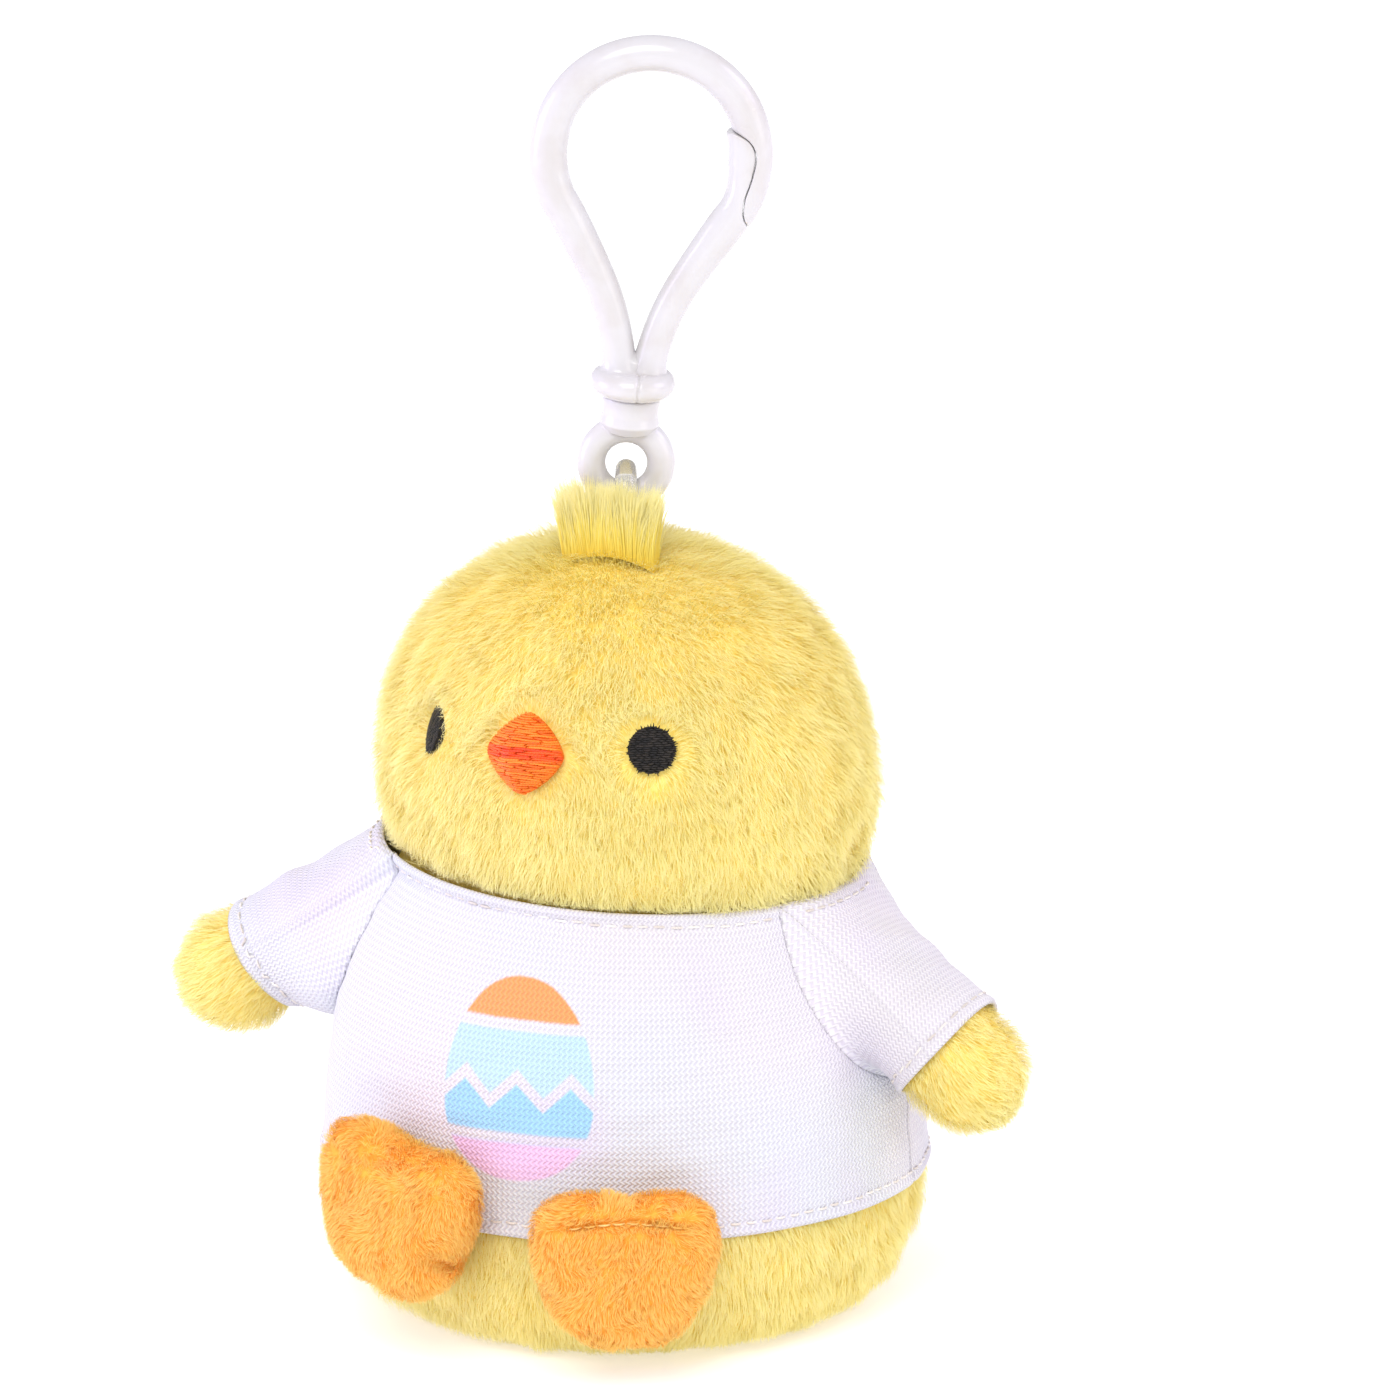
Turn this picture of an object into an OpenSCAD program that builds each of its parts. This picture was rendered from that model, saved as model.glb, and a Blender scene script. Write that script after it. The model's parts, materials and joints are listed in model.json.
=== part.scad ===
// A small plush chick in a T-shirt, hung from a plastic spring clip.
// Millimetres, +Z up, the chick looks along -Y. The origin is the centre of the flat seat.

/* [Plush body] */
// Radius of the flat seat panel
seat_r = 26; // [20:0.5:29]
// Greatest radius of the lower body
body_r = 39.3; // [37:0.1:41]
// Height of the greatest radius above the seat
belly_z = 16; // [13:0.5:18]
// Height of the seam between the body and the head
neck_z = 62; // [62:0.25:62.5]
// Greatest radius of the head
head_r = 32.6; // [31.5:0.1:33.5]
// Height of the head's greatest radius
head_z = 72; // [71.5:0.25:72.5]
// Height of the crown above the head's greatest radius
crown_h = 31.5; // [31.25:0.25:31.75]
// Thickness of the plush cover
cover_t = 1.6; // [1.2:0.1:2]

/* [Face] */
// Diameter of each embroidered eye
eye_d = 6.2; // [5:0.1:7]
// Angle of each eye from straight ahead
eye_angle = 30; // [26:1:34]
// Height of the eyes above the seat
eye_height = 85; // [82:0.5:88]
// Width and height of the diamond-shaped beak
beak_w = 10.6; // [8:0.2:12]
// How far the beak stands out
beak_len = 6; // [4:0.2:8]
// Height of the beak above the seat
beak_height = 83.5; // [81:0.5:86]
// How far the head is turned to its own right
head_turn = 4.5; // [0:0.5:8]

/* [Shirt] */
// Thickness of the shirt fabric with its turned edges
shirt_t = 1.0; // [0.8:0.1:1.1]
// Height of the bottom hem
hem_z = 19; // [18:0.5:22]
// Height of the neckline
neckline_z = 63; // [62.75:0.25:63.25]

/* [Arms] */
// Radius of an arm
arm_r = 7.4; // [7:0.1:7.5]
// Length from the shoulder's centre to the hand's centre
arm_len = 22; // [21:0.5:23]
// Angle of an arm below level
arm_drop = 38; // [36:1:40]
// How far the arms reach forward of straight out
arm_forward = 10; // [5:1:12]
// Length of sleeve beyond the shoulder's centre
sleeve_len = 17.5; // [15:0.5:18]

/* [Feet] */
// Width of a foot at the toes
foot_w = 25.5; // [24:0.5:27]
// Height of a foot from heel to toes
foot_h = 21.5; // [20:0.5:24]
// Thickness of a foot
foot_t = 8; // [7:0.5:8.5]
// Angle of each foot from straight ahead
foot_angle = 22; // [21:1:26]
// How much higher the right foot is sewn on than the left
right_foot_lift = 3; // [0:0.5:4]
// How far the right foot is turned, outer side up
right_foot_roll = 9; // [0:1:10]

/* [Clip] */
// Height of the centre of the clip's eye above the seat
clip_z = 116; // [115.5:0.25:116.5]
// Centreline radius of the clip's loop
loop_r = 13.6; // [13.4:0.1:13.8]
// Height of the loop's centre above the eye's centre
loop_rise = 42.2; // [42:0.1:42.4]
// Radius of the plastic around the loop
wire_r = 2.45; // [2.3:0.05:2.5]
// Radius of the plastic in the two lower arms
arm_wire_r = 2.2; // [2.1:0.05:2.25]
// Radius of the round collar
collar_r = 5.6; // [5.4:0.1:6]
// Inner radius of the clip's eye
eye_bore_r = 2.9; // [2.8:0.05:3]
// Radius of the clear tether strand
strand_r = 1.4; // [1.2:0.05:1.4]
// How far the clip is turned about the upright at rest
clip_turn = 20; // [0:1:24]
// How far the clip leans to its own right at rest
clip_lean = 4.5; // [0:0.5:6]

/* [Hidden] */
$fn = 72;

yellow = "#f6dc7c";
tuft_yellow = "#efd24a";
filling_white = "#f2efe8";
eye_black = "#16130f";
beak_orange = "#ff6a1a";
foot_orange = "#ffb04a";
shirt_white = "#f4f1f8";
thread_cream = "#e9dfcf";
clip_white = "#f7f6f4";
strand_clear = "#e8eef0";

LEFT = 1;    // the chick's own left, at +X
RIGHT = -1;  // the chick's own right, at -X

layer_gap = 0.05;  // between pieces that lie on each other
soft_gap = 0.3;    // between soft pieces that move against each other

// ---- Outlines of the plush ----

head_power = 2.3;      // how square the head's outline is
head_drop = 26;        // the head's half height below its greatest radius
body_power = 2.6;      // how square the upper body's outline is
body_rise = 60;        // the upper body's half height above its greatest radius

// Radius of a superellipse of half axes a and b at height h from its centre
function bulge(a, b, h, power) = a * pow(max(0, 1 - pow(abs(h) / b, power)), 1 / power);

function head_radius(z, inset = 0) =
    z > head_z
        ? bulge(head_r - inset, crown_h - inset, z - head_z, head_power)
        : bulge(head_r - inset, head_drop, z - head_z, head_power);

function body_radius(z, inset = 0) =
    z > belly_z
        ? bulge(body_r - inset, body_rise, z - belly_z, body_power)
        : seat_r + bulge(body_r - inset - seat_r, belly_z - inset, z - belly_z, 2);

function crown_height(r) = head_z + bulge(crown_h, head_r, r, head_power);

// Heights from a to b in equal steps
function steps(a, b, count) = [for (i = [0:count]) a + (b - a) * i / count];

// Outline of the lower body, from the seat's edge to the belly, closer together at the bottom
function seat_curve(inset) = [
    for (i = [0:8]) let (a = 90 * i / 8)
        [seat_r + (body_r - inset - seat_r) * sin(a), belly_z - (belly_z - inset) * cos(a)]
];

function flank_curve(inset, top) = [
    for (z = steps(belly_z, top, 12)) if (z > belly_z) [body_radius(z, inset), z]
];

function head_curve(inset, bottom) = concat(
    [for (z = steps(bottom, head_z, 4)) [head_radius(z, inset), z]],
    [
        for (i = [1:14]) let (a = 90 * i / 14)
            [
                (head_r - inset) * pow(cos(a), 2 / head_power),
                head_z + (crown_h - inset) * pow(sin(a), 2 / head_power)
            ]
    ]
);

function reversed(points) = [for (i = [len(points) - 1:-1:0]) points[i]];

function arc(centre, radius, from, to, count) = [
    for (i = [0:count]) let (a = from + (to - from) * i / count)
        centre + radius * [cos(a), sin(a)]
];

module solid_of(outline, top, bottom) {
    rotate_extrude() polygon(concat([[0, bottom]], outline, [[0, top]]));
}

module shell_of(outer, inner) {
    rotate_extrude() polygon(concat(outer, reversed(inner)));
}

// ---- Shoulders ----

shoulder = [34.5, -3, 52];  // across, forward and up
arm_down_limit = 8;
arm_room_below = arm_down_limit + 1;
arm_room_len = 40;          // long enough to leave the body and the shirt
swing_room = 0.55;          // more radius along the arm, for its swing forward and back
sleeve_r = arm_r + layer_gap + shirt_t;

module at_shoulder(side, drop = arm_drop) {
    translate([side * shoulder[0], shoulder[1], shoulder[2]])
        rotate([0, 0, -side * arm_forward]) rotate([0, side * (90 + drop), 0]) children();
}

// The room that an arm and its sleeve need in the side of the body
module arm_room(side) {
    pocket_r = sleeve_r + soft_gap;
    translate([side * shoulder[0], shoulder[1], shoulder[2]]) sphere(r = pocket_r);
    for (drop = [arm_drop, arm_drop + arm_room_below])
        at_shoulder(side, drop) cylinder(r = pocket_r + swing_room, h = arm_room_len);
}

// ---- Body ----

module body_cover() {
    color(yellow) difference() {
        shell_of(
            concat(seat_curve(0), flank_curve(0, neck_z)),
            concat([[seat_r, cover_t]], seat_curve(cover_t), flank_curve(cover_t, neck_z))
        );
        for (side = [LEFT, RIGHT]) arm_room(side);
    }
}

module body_filling() {
    inset = cover_t + layer_gap;
    color(filling_white) difference() {
        solid_of(concat(seat_curve(inset), flank_curve(inset, neck_z)), neck_z, inset);
        for (side = [LEFT, RIGHT]) arm_room(side);
    }
}

module base_panel() {
    color(yellow) cylinder(r = seat_r - layer_gap, h = cover_t);
}

// ---- Head ----

root_z = 103;        // where the tether bends, just inside the crown
root_r = 2 * strand_r;
tuft_y = -6.7;
tuft_t = 1.6;
tuft_base_w = 11;
tuft_top_w = 15;
tuft_bottom_z = 101.9;
tuft_top_z = 113.4;

// The opening in the crown seam where the tether comes out and tips back
module tether_room() {
    width = 2 * (strand_r + soft_gap);
    room_r = root_r + soft_gap;
    front = -4.6;
    back = 9.5;
    above = 2.5;
    back_floor = [[3, -3], [5, -2.2], [back, -1.2]];  // the strand lies down on this
    rotate([90, 0, 90 + clip_turn]) translate([0, root_z]) {
        linear_extrude(width, center = true) polygon(concat(
            [[front, above], [-room_r, 0]], back_floor, [[back, above]]
        ));
        cylinder(r = room_r, h = width, center = true);
    }
}

module tuft_outline(grow = 0) {
    polygon([
        [-tuft_base_w / 2 - grow, tuft_bottom_z - grow],
        [tuft_base_w / 2 + grow, tuft_bottom_z - grow],
        [tuft_top_w / 2 + grow, tuft_top_z + grow],
        [-tuft_top_w / 2 - grow, tuft_top_z + grow]
    ]);
}

module tuft_solid(grow = 0) {
    translate([0, tuft_y, 0]) rotate([90, 0, 0])
        linear_extrude(tuft_t + 2 * grow, center = true) tuft_outline(grow);
}

module tuft() {
    color(tuft_yellow) tuft_solid();
}

face_recess = 1;     // how deep the eyes and the beak are sewn into the cover
eye_proud = 0.5;
eye_lean = 15;       // the face leans back by this much at the eyes
beak_edge_t = 0.3;   // thickness of the beak's edge in front of the cover
beak_tip_d = 1;

module at_eye(side) {
    rotate([0, 0, side * eye_angle - head_turn]) translate([0, -head_radius(eye_height), eye_height])
        rotate([90 - eye_lean, 0, 0]) children();
}

module at_beak() {
    rotate([0, 0, -head_turn]) translate([0, -head_radius(beak_height), beak_height])
        rotate([90 - eye_lean, 0, 0]) children();
}

module eye(side) {
    color(eye_black) at_eye(side) translate([0, 0, -face_recess])
        cylinder(d = eye_d, h = face_recess + eye_proud);
}

module beak() {
    color(beak_orange) at_beak() {
        translate([0, 0, -face_recess])
            cylinder(d = beak_w, h = face_recess + beak_edge_t, $fn = 4);
        translate([0, 0, beak_edge_t])
            cylinder(d1 = beak_w, d2 = beak_tip_d, h = beak_len - beak_edge_t, $fn = 4);
    }
}

module face_recesses() {
    for (side = [LEFT, RIGHT])
        at_eye(side) translate([0, 0, -face_recess - layer_gap])
            cylinder(d = eye_d + 2 * layer_gap, h = 4);
    at_beak() translate([0, 0, -face_recess - layer_gap])
        cylinder(d = beak_w + 3 * layer_gap, h = 4, $fn = 4);
}

module head_cover() {
    color(yellow) difference() {
        shell_of(head_curve(0, neck_z + layer_gap), head_curve(cover_t, neck_z + layer_gap));
        face_recesses();
        tether_room();
        tuft_solid(layer_gap);
    }
}

module head_filling() {
    inset = cover_t + layer_gap;
    color(filling_white) difference() {
        solid_of(head_curve(inset, neck_z + layer_gap), head_z + crown_h - inset, neck_z + layer_gap);
        tether_room();
        tuft_solid(layer_gap);
    }
}

// ---- Shirt ----

function shirt_radius(z, out) =
    max(body_radius(z), head_radius(max(z, neck_z - 1))) + 2 * layer_gap + out;

function shirt_curve(out) = [for (z = steps(hem_z, neckline_z, 16)) [shirt_radius(z, out), z]];

// Half of the shirt, on the side that faces -Y (front = 1) or +Y (front = -1)
module shirt_half(front) {
    reach = 60;
    color(shirt_white) difference() {
        shell_of(shirt_curve(shirt_t), shirt_curve(0));
        for (side = [LEFT, RIGHT]) arm_room(side);
        translate([-reach, front > 0 ? -layer_gap / 2 : layer_gap / 2 - reach, hem_z - 1])
            cube([2 * reach, reach, neckline_z]);
    }
}

module shirt_front() {
    shirt_half(1);
}

module shirt_back() {
    shirt_half(-1);
}

thread_r = 0.25;
stitch_inset = 1.7;   // from the edge of the fabric to its row of stitches

slope_gap = 0.1;      // more room where the fabric slopes away from a row of stitches

module thread_ring(radius, z) {
    color(thread_cream) translate([0, 0, z]) rotate_extrude()
        translate([radius + thread_r + layer_gap, 0]) circle(r = thread_r, $fn = 24);
}

// A row of stitches around the shirt, on the straight stretches of its outline
module shirt_stitching(z) {
    outline = [for (point = shirt_curve(shirt_t)) [point[1], point[0]]];
    thread_ring(lookup(z, outline) + slope_gap, z);
}

module neck_stitching() {
    shirt_stitching(neckline_z - stitch_inset);
}

module hem_stitching() {
    shirt_stitching(hem_z + stitch_inset);
}

// ---- Arms ----

// A capsule's outline from its inner end to its round outer end
function capsule(radius, length) = concat(
    arc([0, 0], radius, -90, 0, 8),
    arc([0, length], radius, 0, 90, 8)
);

arm_cover_t = 1.2;

module arm_cover(side) {
    inner_r = arm_r - arm_cover_t;
    color(yellow) at_shoulder(side) rotate_extrude()
        polygon(concat(capsule(arm_r, arm_len), reversed(capsule(inner_r, arm_len))));
}

module arm_filling(side) {
    color(filling_white) at_shoulder(side) rotate_extrude()
        polygon(capsule(arm_r - arm_cover_t - layer_gap, arm_len));
}

module sleeve(side) {
    inner_r = arm_r + layer_gap;
    cap_angle = -15;
    color(shirt_white) at_shoulder(side) rotate_extrude()
        polygon(concat(
            arc([0, 0], sleeve_r, cap_angle, 0, 2), [[sleeve_r, sleeve_len]],
            [[inner_r, sleeve_len]], arc([0, 0], inner_r, 0, cap_angle, 2)
        ));
}

module cuff_stitching(side) {
    at_shoulder(side) thread_ring(sleeve_r, sleeve_len - stitch_inset);
}

// ---- Feet ----

foot_y = 41.3;        // from the body's axis to the back of a foot
heel_z = 9.7;         // height of the seam that holds a foot
foot_cover_t = 1;
toe_corner_r = 6;
heel_below = 1.5;     // how far a foot hangs below its seam

heel_share = 0.33;    // radius of the round heel as a share of the foot's width

// Outline of a foot, inset by a fabric thickness: wide toes above, a round heel below
function foot_outline(inset) =
    let (
        toe_x = foot_w / 2 - toe_corner_r,
        toe_z = foot_h - heel_below - toe_corner_r,
        heel_r = foot_w * heel_share,
        heel_z0 = heel_r - heel_below
    )
    concat(
        arc([toe_x, toe_z], toe_corner_r - inset, -12, 90, 6),
        arc([-toe_x, toe_z], toe_corner_r - inset, 90, 192, 6),
        arc([0, heel_z0], heel_r - inset, 205, 335, 8)
    );

module at_foot(side) {
    lift = side == RIGHT ? right_foot_lift : 0;
    roll = side == RIGHT ? right_foot_roll : 0;
    rotate([0, 0, side * foot_angle]) translate([0, -foot_y, heel_z + lift])
        rotate([0, roll, 0]) children();
}

// A slab of the foot's outline between two depths in front of its back
module foot_slab(inset, back, front) {
    translate([0, -back, 0]) rotate([90, 0, 0])
        linear_extrude(front - back) polygon(foot_outline(inset));
}

module foot_sole(side) {
    color(foot_orange) at_foot(side) foot_slab(0, foot_t - foot_cover_t, foot_t);
}

module foot_upper(side) {
    color(foot_orange) at_foot(side) difference() {
        foot_slab(0, 0, foot_t - foot_cover_t - layer_gap);
        foot_slab(foot_cover_t, foot_cover_t, foot_t);
    }
}

module foot_filling(side) {
    color(filling_white) at_foot(side) foot_slab(
        foot_cover_t + layer_gap, foot_cover_t + layer_gap, foot_t - foot_cover_t - 2 * layer_gap
    );
}

// ---- Clip ----

bend_angle = 37.5;    // where the loop turns over into the arms, below level
arm_end_angle = 8;    // how far an arm is from upright at the collar
arm_end_z = 13;
bend = [loop_r * cos(bend_angle), loop_rise - loop_r * sin(bend_angle)];
arm_bend_r = (bend[1] - arm_end_z) / (sin(bend_angle) - sin(arm_end_angle));
arm_centre = bend + arm_bend_r * [cos(bend_angle), -sin(bend_angle)];
hinge_angle = 13;     // of the arm at the gate's hinge, from upright
hinge = arm_centre + arm_bend_r * [-cos(hinge_angle), sin(hinge_angle)];
gate_gap = 0.12;
hinge_r = arm_wire_r + 0.15;

collar_bottom = 8.4;
collar_top = 12.4;
neck_r = 3.6;
stem_r = 2;
button_r = 2.9;
button_t = 1.4;
button_z = collar_bottom + 1.2;
play = 0.1;           // end play of the swivel
running_gap = 0.06;   // radial clearance of the swivel's stem
web = [4.2, 3.6, 3];
web_overlap = 1;

// Everything of the clip is drawn in its own X and Z, from the centre of its eye.
// It leans about the strand that it hangs on.
module clip_frame() {
    rotate([0, 0, clip_turn]) translate([0, 0, strand_z]) rotate([0, clip_lean, 0])
        translate([0, 0, clip_z - strand_z]) children();
}

module bent_wire(centre, radius, thickness, from, to) {
    translate([centre[0], 0, centre[1]]) rotate([90, 0, 0]) rotate([0, 0, from])
        rotate_extrude(angle = to - from) translate([radius, 0]) circle(r = thickness, $fn = 48);
}

module loop_wire(from, to) {
    bent_wire([0, loop_rise], loop_r, wire_r, from, to);
}

module lower_arm() {
    bent_wire(arm_centre, arm_bend_r, arm_wire_r, 180 - bend_angle - 1, 180 - arm_end_angle);
}

// The side of the parting line that belongs to the gate, with the line's S shape on the outside
module gate_side(shift = 0) {
    rotate([90, 0, 0]) translate([-shift, -0.7 * shift]) linear_extrude(12, center = true) polygon([
        [0.2, hinge[1]], [0.9, 21], [7.5, 35], [8.6, 47.3], [11.1, 46], [12.8, 45.2],
        [13.8, 43.5], [13.6, 40.8], [12.6, 37.6], [12.3, 35.4], [13.4, 32.7], [18, 28], [9, hinge[1]]
    ]);
}

module hinge_barrel(radius) {
    translate([hinge[0], 0, hinge[1]]) rotate([90, 0, 0])
        cylinder(r = radius, h = 12, center = true);
}

module collar() {
    edge_r = (collar_top - collar_bottom) / 2;
    middle = collar_bottom + edge_r;
    rotate_extrude() polygon(concat(
        [[0, collar_bottom]],
        arc([collar_r - edge_r, middle], edge_r, -90, 90, 10),
        [[0, collar_top]]
    ));
}

// Fills the foot of the V between the two arms, above the collar
module crotch_web() {
    translate([-web[0] / 2, -web[1] / 2, collar_top - web_overlap]) cube(web);
}

module hook_body() {
    color(clip_white) clip_frame() difference() {
        union() {
            loop_wire(-bend_angle, 180 + bend_angle);
            lower_arm();
            mirror([1, 0, 0]) lower_arm();
            collar();
            crotch_web();
        }
        gate_side();
        hinge_barrel(hinge_r + gate_gap);
        translate([0, 0, collar_bottom - 1]) cylinder(r = stem_r + running_gap, h = 3);
        translate([0, 0, button_z])
            cylinder(r = button_r + play, h = button_t + 2 * play);
    }
}

module gate_arm() {
    color(clip_white) clip_frame() intersection() {
        union() {
            loop_wire(-bend_angle, 40);
            lower_arm();
        }
        union() {
            gate_side(gate_gap);
            hinge_barrel(hinge_r);
        }
    }
}

ring_r = 1.75;
ring_centre_r = eye_bore_r + ring_r;
arch_r = 3.5;         // the strand bends over the eye at this radius
arch_end = 25;        // and turns in towards its root by this much
arch_z = clip_z - ring_centre_r;
strand_z = arch_z + arch_r;

module swivel_eye() {
    color(clip_white) clip_frame() {
        rotate([90, 0, 0]) rotate_extrude() translate([ring_centre_r, 0]) circle(r = ring_r, $fn = 48);
        translate([0, 0, ring_centre_r]) cylinder(
            r = neck_r, h = collar_bottom - play - ring_centre_r
        );
        translate([0, 0, collar_bottom - 1]) cylinder(r = stem_r, h = 2.5);
        translate([0, 0, button_z + play]) cylinder(r = button_r, h = button_t - play);
    }
}

leg_r = strand_r - 0.1;
leg_overlap = 0.4;    // of a leg's end inside the arch

// The loop stands across the clip's eye, and its two legs meet at the root
module tether_loop() {
    leg_start = arch_r * [cos(arch_end), -sin(arch_end)];
    leg_len = (arch_z + leg_start[1] - root_z) / cos(arch_end);
    color(strand_clear, 0.6) rotate([0, 0, clip_turn]) {
        rotate([90, 0, 90]) translate([0, arch_z, 0]) rotate([0, 0, -arch_end])
            rotate_extrude(angle = 180 + 2 * arch_end)
                translate([arch_r, 0]) circle(r = strand_r, $fn = 32);
        for (side = [-1, 1])
            translate([0, side * leg_start[0], arch_z + leg_start[1]])
                rotate([180 - side * arch_end, 0, 0])
                    translate([0, 0, -leg_overlap])
                        cylinder(r = leg_r, h = leg_len + leg_overlap, $fn = 32);
        translate([0, 0, root_z]) rotate([0, 90, 0])
            cylinder(r = root_r, h = 2 * strand_r, center = true);
    }
}

hook_body();
gate_arm();
swivel_eye();
tether_loop();
tuft();
head_cover();
head_filling();
eye(LEFT);  // eye_left
eye(RIGHT);  // eye_right
beak();
body_cover();
body_filling();
base_panel();
arm_cover(LEFT);  // arm_left_cover
arm_filling(LEFT);  // arm_left_filling
arm_cover(RIGHT);  // arm_right_cover
arm_filling(RIGHT);  // arm_right_filling
foot_sole(LEFT);  // foot_left_sole
foot_upper(LEFT);  // foot_left_upper
foot_filling(LEFT);  // foot_left_filling
foot_sole(RIGHT);  // foot_right_sole
foot_upper(RIGHT);  // foot_right_upper
foot_filling(RIGHT);  // foot_right_filling
shirt_front();
shirt_back();
sleeve(LEFT);  // sleeve_left
sleeve(RIGHT);  // sleeve_right
neck_stitching();
hem_stitching();
cuff_stitching(LEFT);  // cuff_stitching_left
cuff_stitching(RIGHT);  // cuff_stitching_right
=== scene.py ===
"""A small plush chick in a printed T-shirt, under a moulded spring clip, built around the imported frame."""

import json
import math

import bpy
import numpy as np
from mathutils import Matrix, Vector, kdtree


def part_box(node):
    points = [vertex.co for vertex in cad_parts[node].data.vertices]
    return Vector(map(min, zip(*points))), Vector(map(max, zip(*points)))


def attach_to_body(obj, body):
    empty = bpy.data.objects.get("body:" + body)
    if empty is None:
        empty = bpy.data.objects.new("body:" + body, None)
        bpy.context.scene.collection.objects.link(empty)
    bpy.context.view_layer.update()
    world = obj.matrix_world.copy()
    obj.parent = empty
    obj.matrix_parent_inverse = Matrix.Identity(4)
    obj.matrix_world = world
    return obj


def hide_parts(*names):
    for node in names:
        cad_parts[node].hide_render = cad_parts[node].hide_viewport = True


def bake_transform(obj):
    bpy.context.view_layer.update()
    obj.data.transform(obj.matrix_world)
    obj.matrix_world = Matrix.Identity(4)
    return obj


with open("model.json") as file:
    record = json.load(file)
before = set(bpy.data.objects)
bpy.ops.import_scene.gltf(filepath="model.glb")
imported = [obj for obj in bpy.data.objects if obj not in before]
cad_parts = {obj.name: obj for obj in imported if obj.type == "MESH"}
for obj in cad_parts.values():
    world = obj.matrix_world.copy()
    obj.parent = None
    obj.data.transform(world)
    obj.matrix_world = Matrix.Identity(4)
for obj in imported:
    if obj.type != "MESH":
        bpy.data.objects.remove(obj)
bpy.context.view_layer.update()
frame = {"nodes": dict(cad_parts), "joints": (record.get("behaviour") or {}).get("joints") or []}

MM = 0.001               # everything below is worked out in millimetres, and meshes are made in metres
LEFT, RIGHT = 1, -1      # the chick's own left is +X
VIEW_AZIMUTH = math.radians(20.5)

# ---- Sizes from the frame, in millimetres ----


def corners(node):
    low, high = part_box(node)
    return np.array(low) / MM, np.array(high) / MM


def joint(name):
    return next(j for j in frame["joints"] if j["name"] == name)


def joint_point(name):
    return np.array(joint(name)["pos_m"]) / MM


def unit(vectors):
    vectors = np.asarray(vectors, float)
    return vectors / np.maximum(np.linalg.norm(vectors, axis=-1, keepdims=True), 1e-9)


BODY_R = corners("body_cover")[1][1]
NECK_Z = corners("body_cover")[1][2]
SEAT_R = corners("base_panel")[1][0]
HEAD_R = corners("head_cover")[1][1]
CROWN_Z = corners("head_cover")[1][2]
HEM_Z = corners("shirt_front")[0][2]
NECKLINE_Z = corners("shirt_front")[1][2]
BELLY_Z = 16.0           # height of the body's greatest radius
HEAD_Z = 72.0            # height of the head's greatest radius
HEAD_DROP = 26.0         # half height of the head below that
BODY_RISE = 60.0         # half height of the upper body above the belly
HEAD_POWER = 2.3
BODY_POWER = 2.6
SHIRT_OUT = 1.1          # from the plush to the outside of the shirt
PILE_H = 1.5             # how far the long pile stands out from the plush

SHOULDER = {LEFT: joint_point("arm_left_lift"), RIGHT: joint_point("arm_right_lift")}
ARM_DROP = {LEFT: math.radians(38.5), RIGHT: math.radians(33)}
ARM_FORWARD = math.radians(10)
ARM_LEN = 22.0           # from the shoulder's centre to the hand's centre
CUFF_AT = 18.3           # along the arm
CUFF_R = {LEFT: 8.7, RIGHT: 7.9}
CUFF_RAISE = {LEFT: -1.0, RIGHT: 0.7}    # how far the cuff sits over the arm's middle
CUFF_FILL = {LEFT: 7.5, RIGHT: 6.8}      # radius of the plush inside the cuff
HAND_R = {LEFT: 7.1, RIGHT: 7.4}

FOOT_ANGLE = math.radians(22)
FOOT_W = 25.5
FOOT_H = 21.5
FOOT_T = 8.0
HEEL_BELOW = 1.5
FOOT_FILL = {LEFT: 1.0, RIGHT: 1.05}     # how full each foot's outline is
FOOT_SHIFT = {LEFT: (-1.2, -1.8), RIGHT: (-0.8, -0.8)}    # where its pad sits on the seam, across and up
FOOT_ROLL = {LEFT: 0.0, RIGHT: math.radians(9)}

FACE_LEAN = math.radians(15)


def side_word(side):
    return "left" if side == LEFT else "right"


def bulge(a, b, h, power):
    """Radius at height h of a superellipse with half axes a and b."""
    return a * np.maximum(0, 1 - (np.abs(h) / b) ** power) ** (1 / power)


def body_radius(z):
    z = np.asarray(z, float)
    upper = bulge(BODY_R, BODY_RISE, z - BELLY_Z, BODY_POWER)
    lower = SEAT_R + bulge(BODY_R - SEAT_R, BELLY_Z, z - BELLY_Z, 2)
    return np.where(z > BELLY_Z, upper, lower)


def head_radius(z):
    z = np.asarray(z, float)
    upper = bulge(HEAD_R, CROWN_Z - HEAD_Z, z - HEAD_Z, HEAD_POWER)
    lower = bulge(HEAD_R, HEAD_DROP, z - HEAD_Z, HEAD_POWER)
    return np.where(z > HEAD_Z, upper, lower)


def sight(azimuth, elevation):
    """The direction from the chick towards an azimuth and elevation, in radians."""
    level = math.cos(elevation)
    return Vector((math.sin(azimuth) * level, -math.cos(azimuth) * level, math.sin(elevation)))


def around(azimuth, radius, z):
    """Points at an azimuth from straight ahead, turning towards the chick's left."""
    azimuth, radius, z = np.broadcast_arrays(azimuth, radius, z)
    return np.stack([radius * np.sin(azimuth), -radius * np.cos(azimuth), z], -1)


def smooth_curve(points, per_span=12):
    """A Catmull-Rom curve through the points."""
    p = np.asarray(points, float)
    p = np.vstack([2 * p[0] - p[1], p, 2 * p[-1] - p[-2]])
    t = np.linspace(0, 1, per_span, endpoint=False)[:, None]
    spans = []
    for a, b, c, d in zip(p, p[1:], p[2:], p[3:]):
        spans.append(0.5 * (2 * b + (c - a) * t + (2 * a - 5 * b + 4 * c - d) * t**2
                            + (3 * b - a - 3 * c + d) * t**3))
    return np.vstack([*spans, p[-2][None]])


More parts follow.
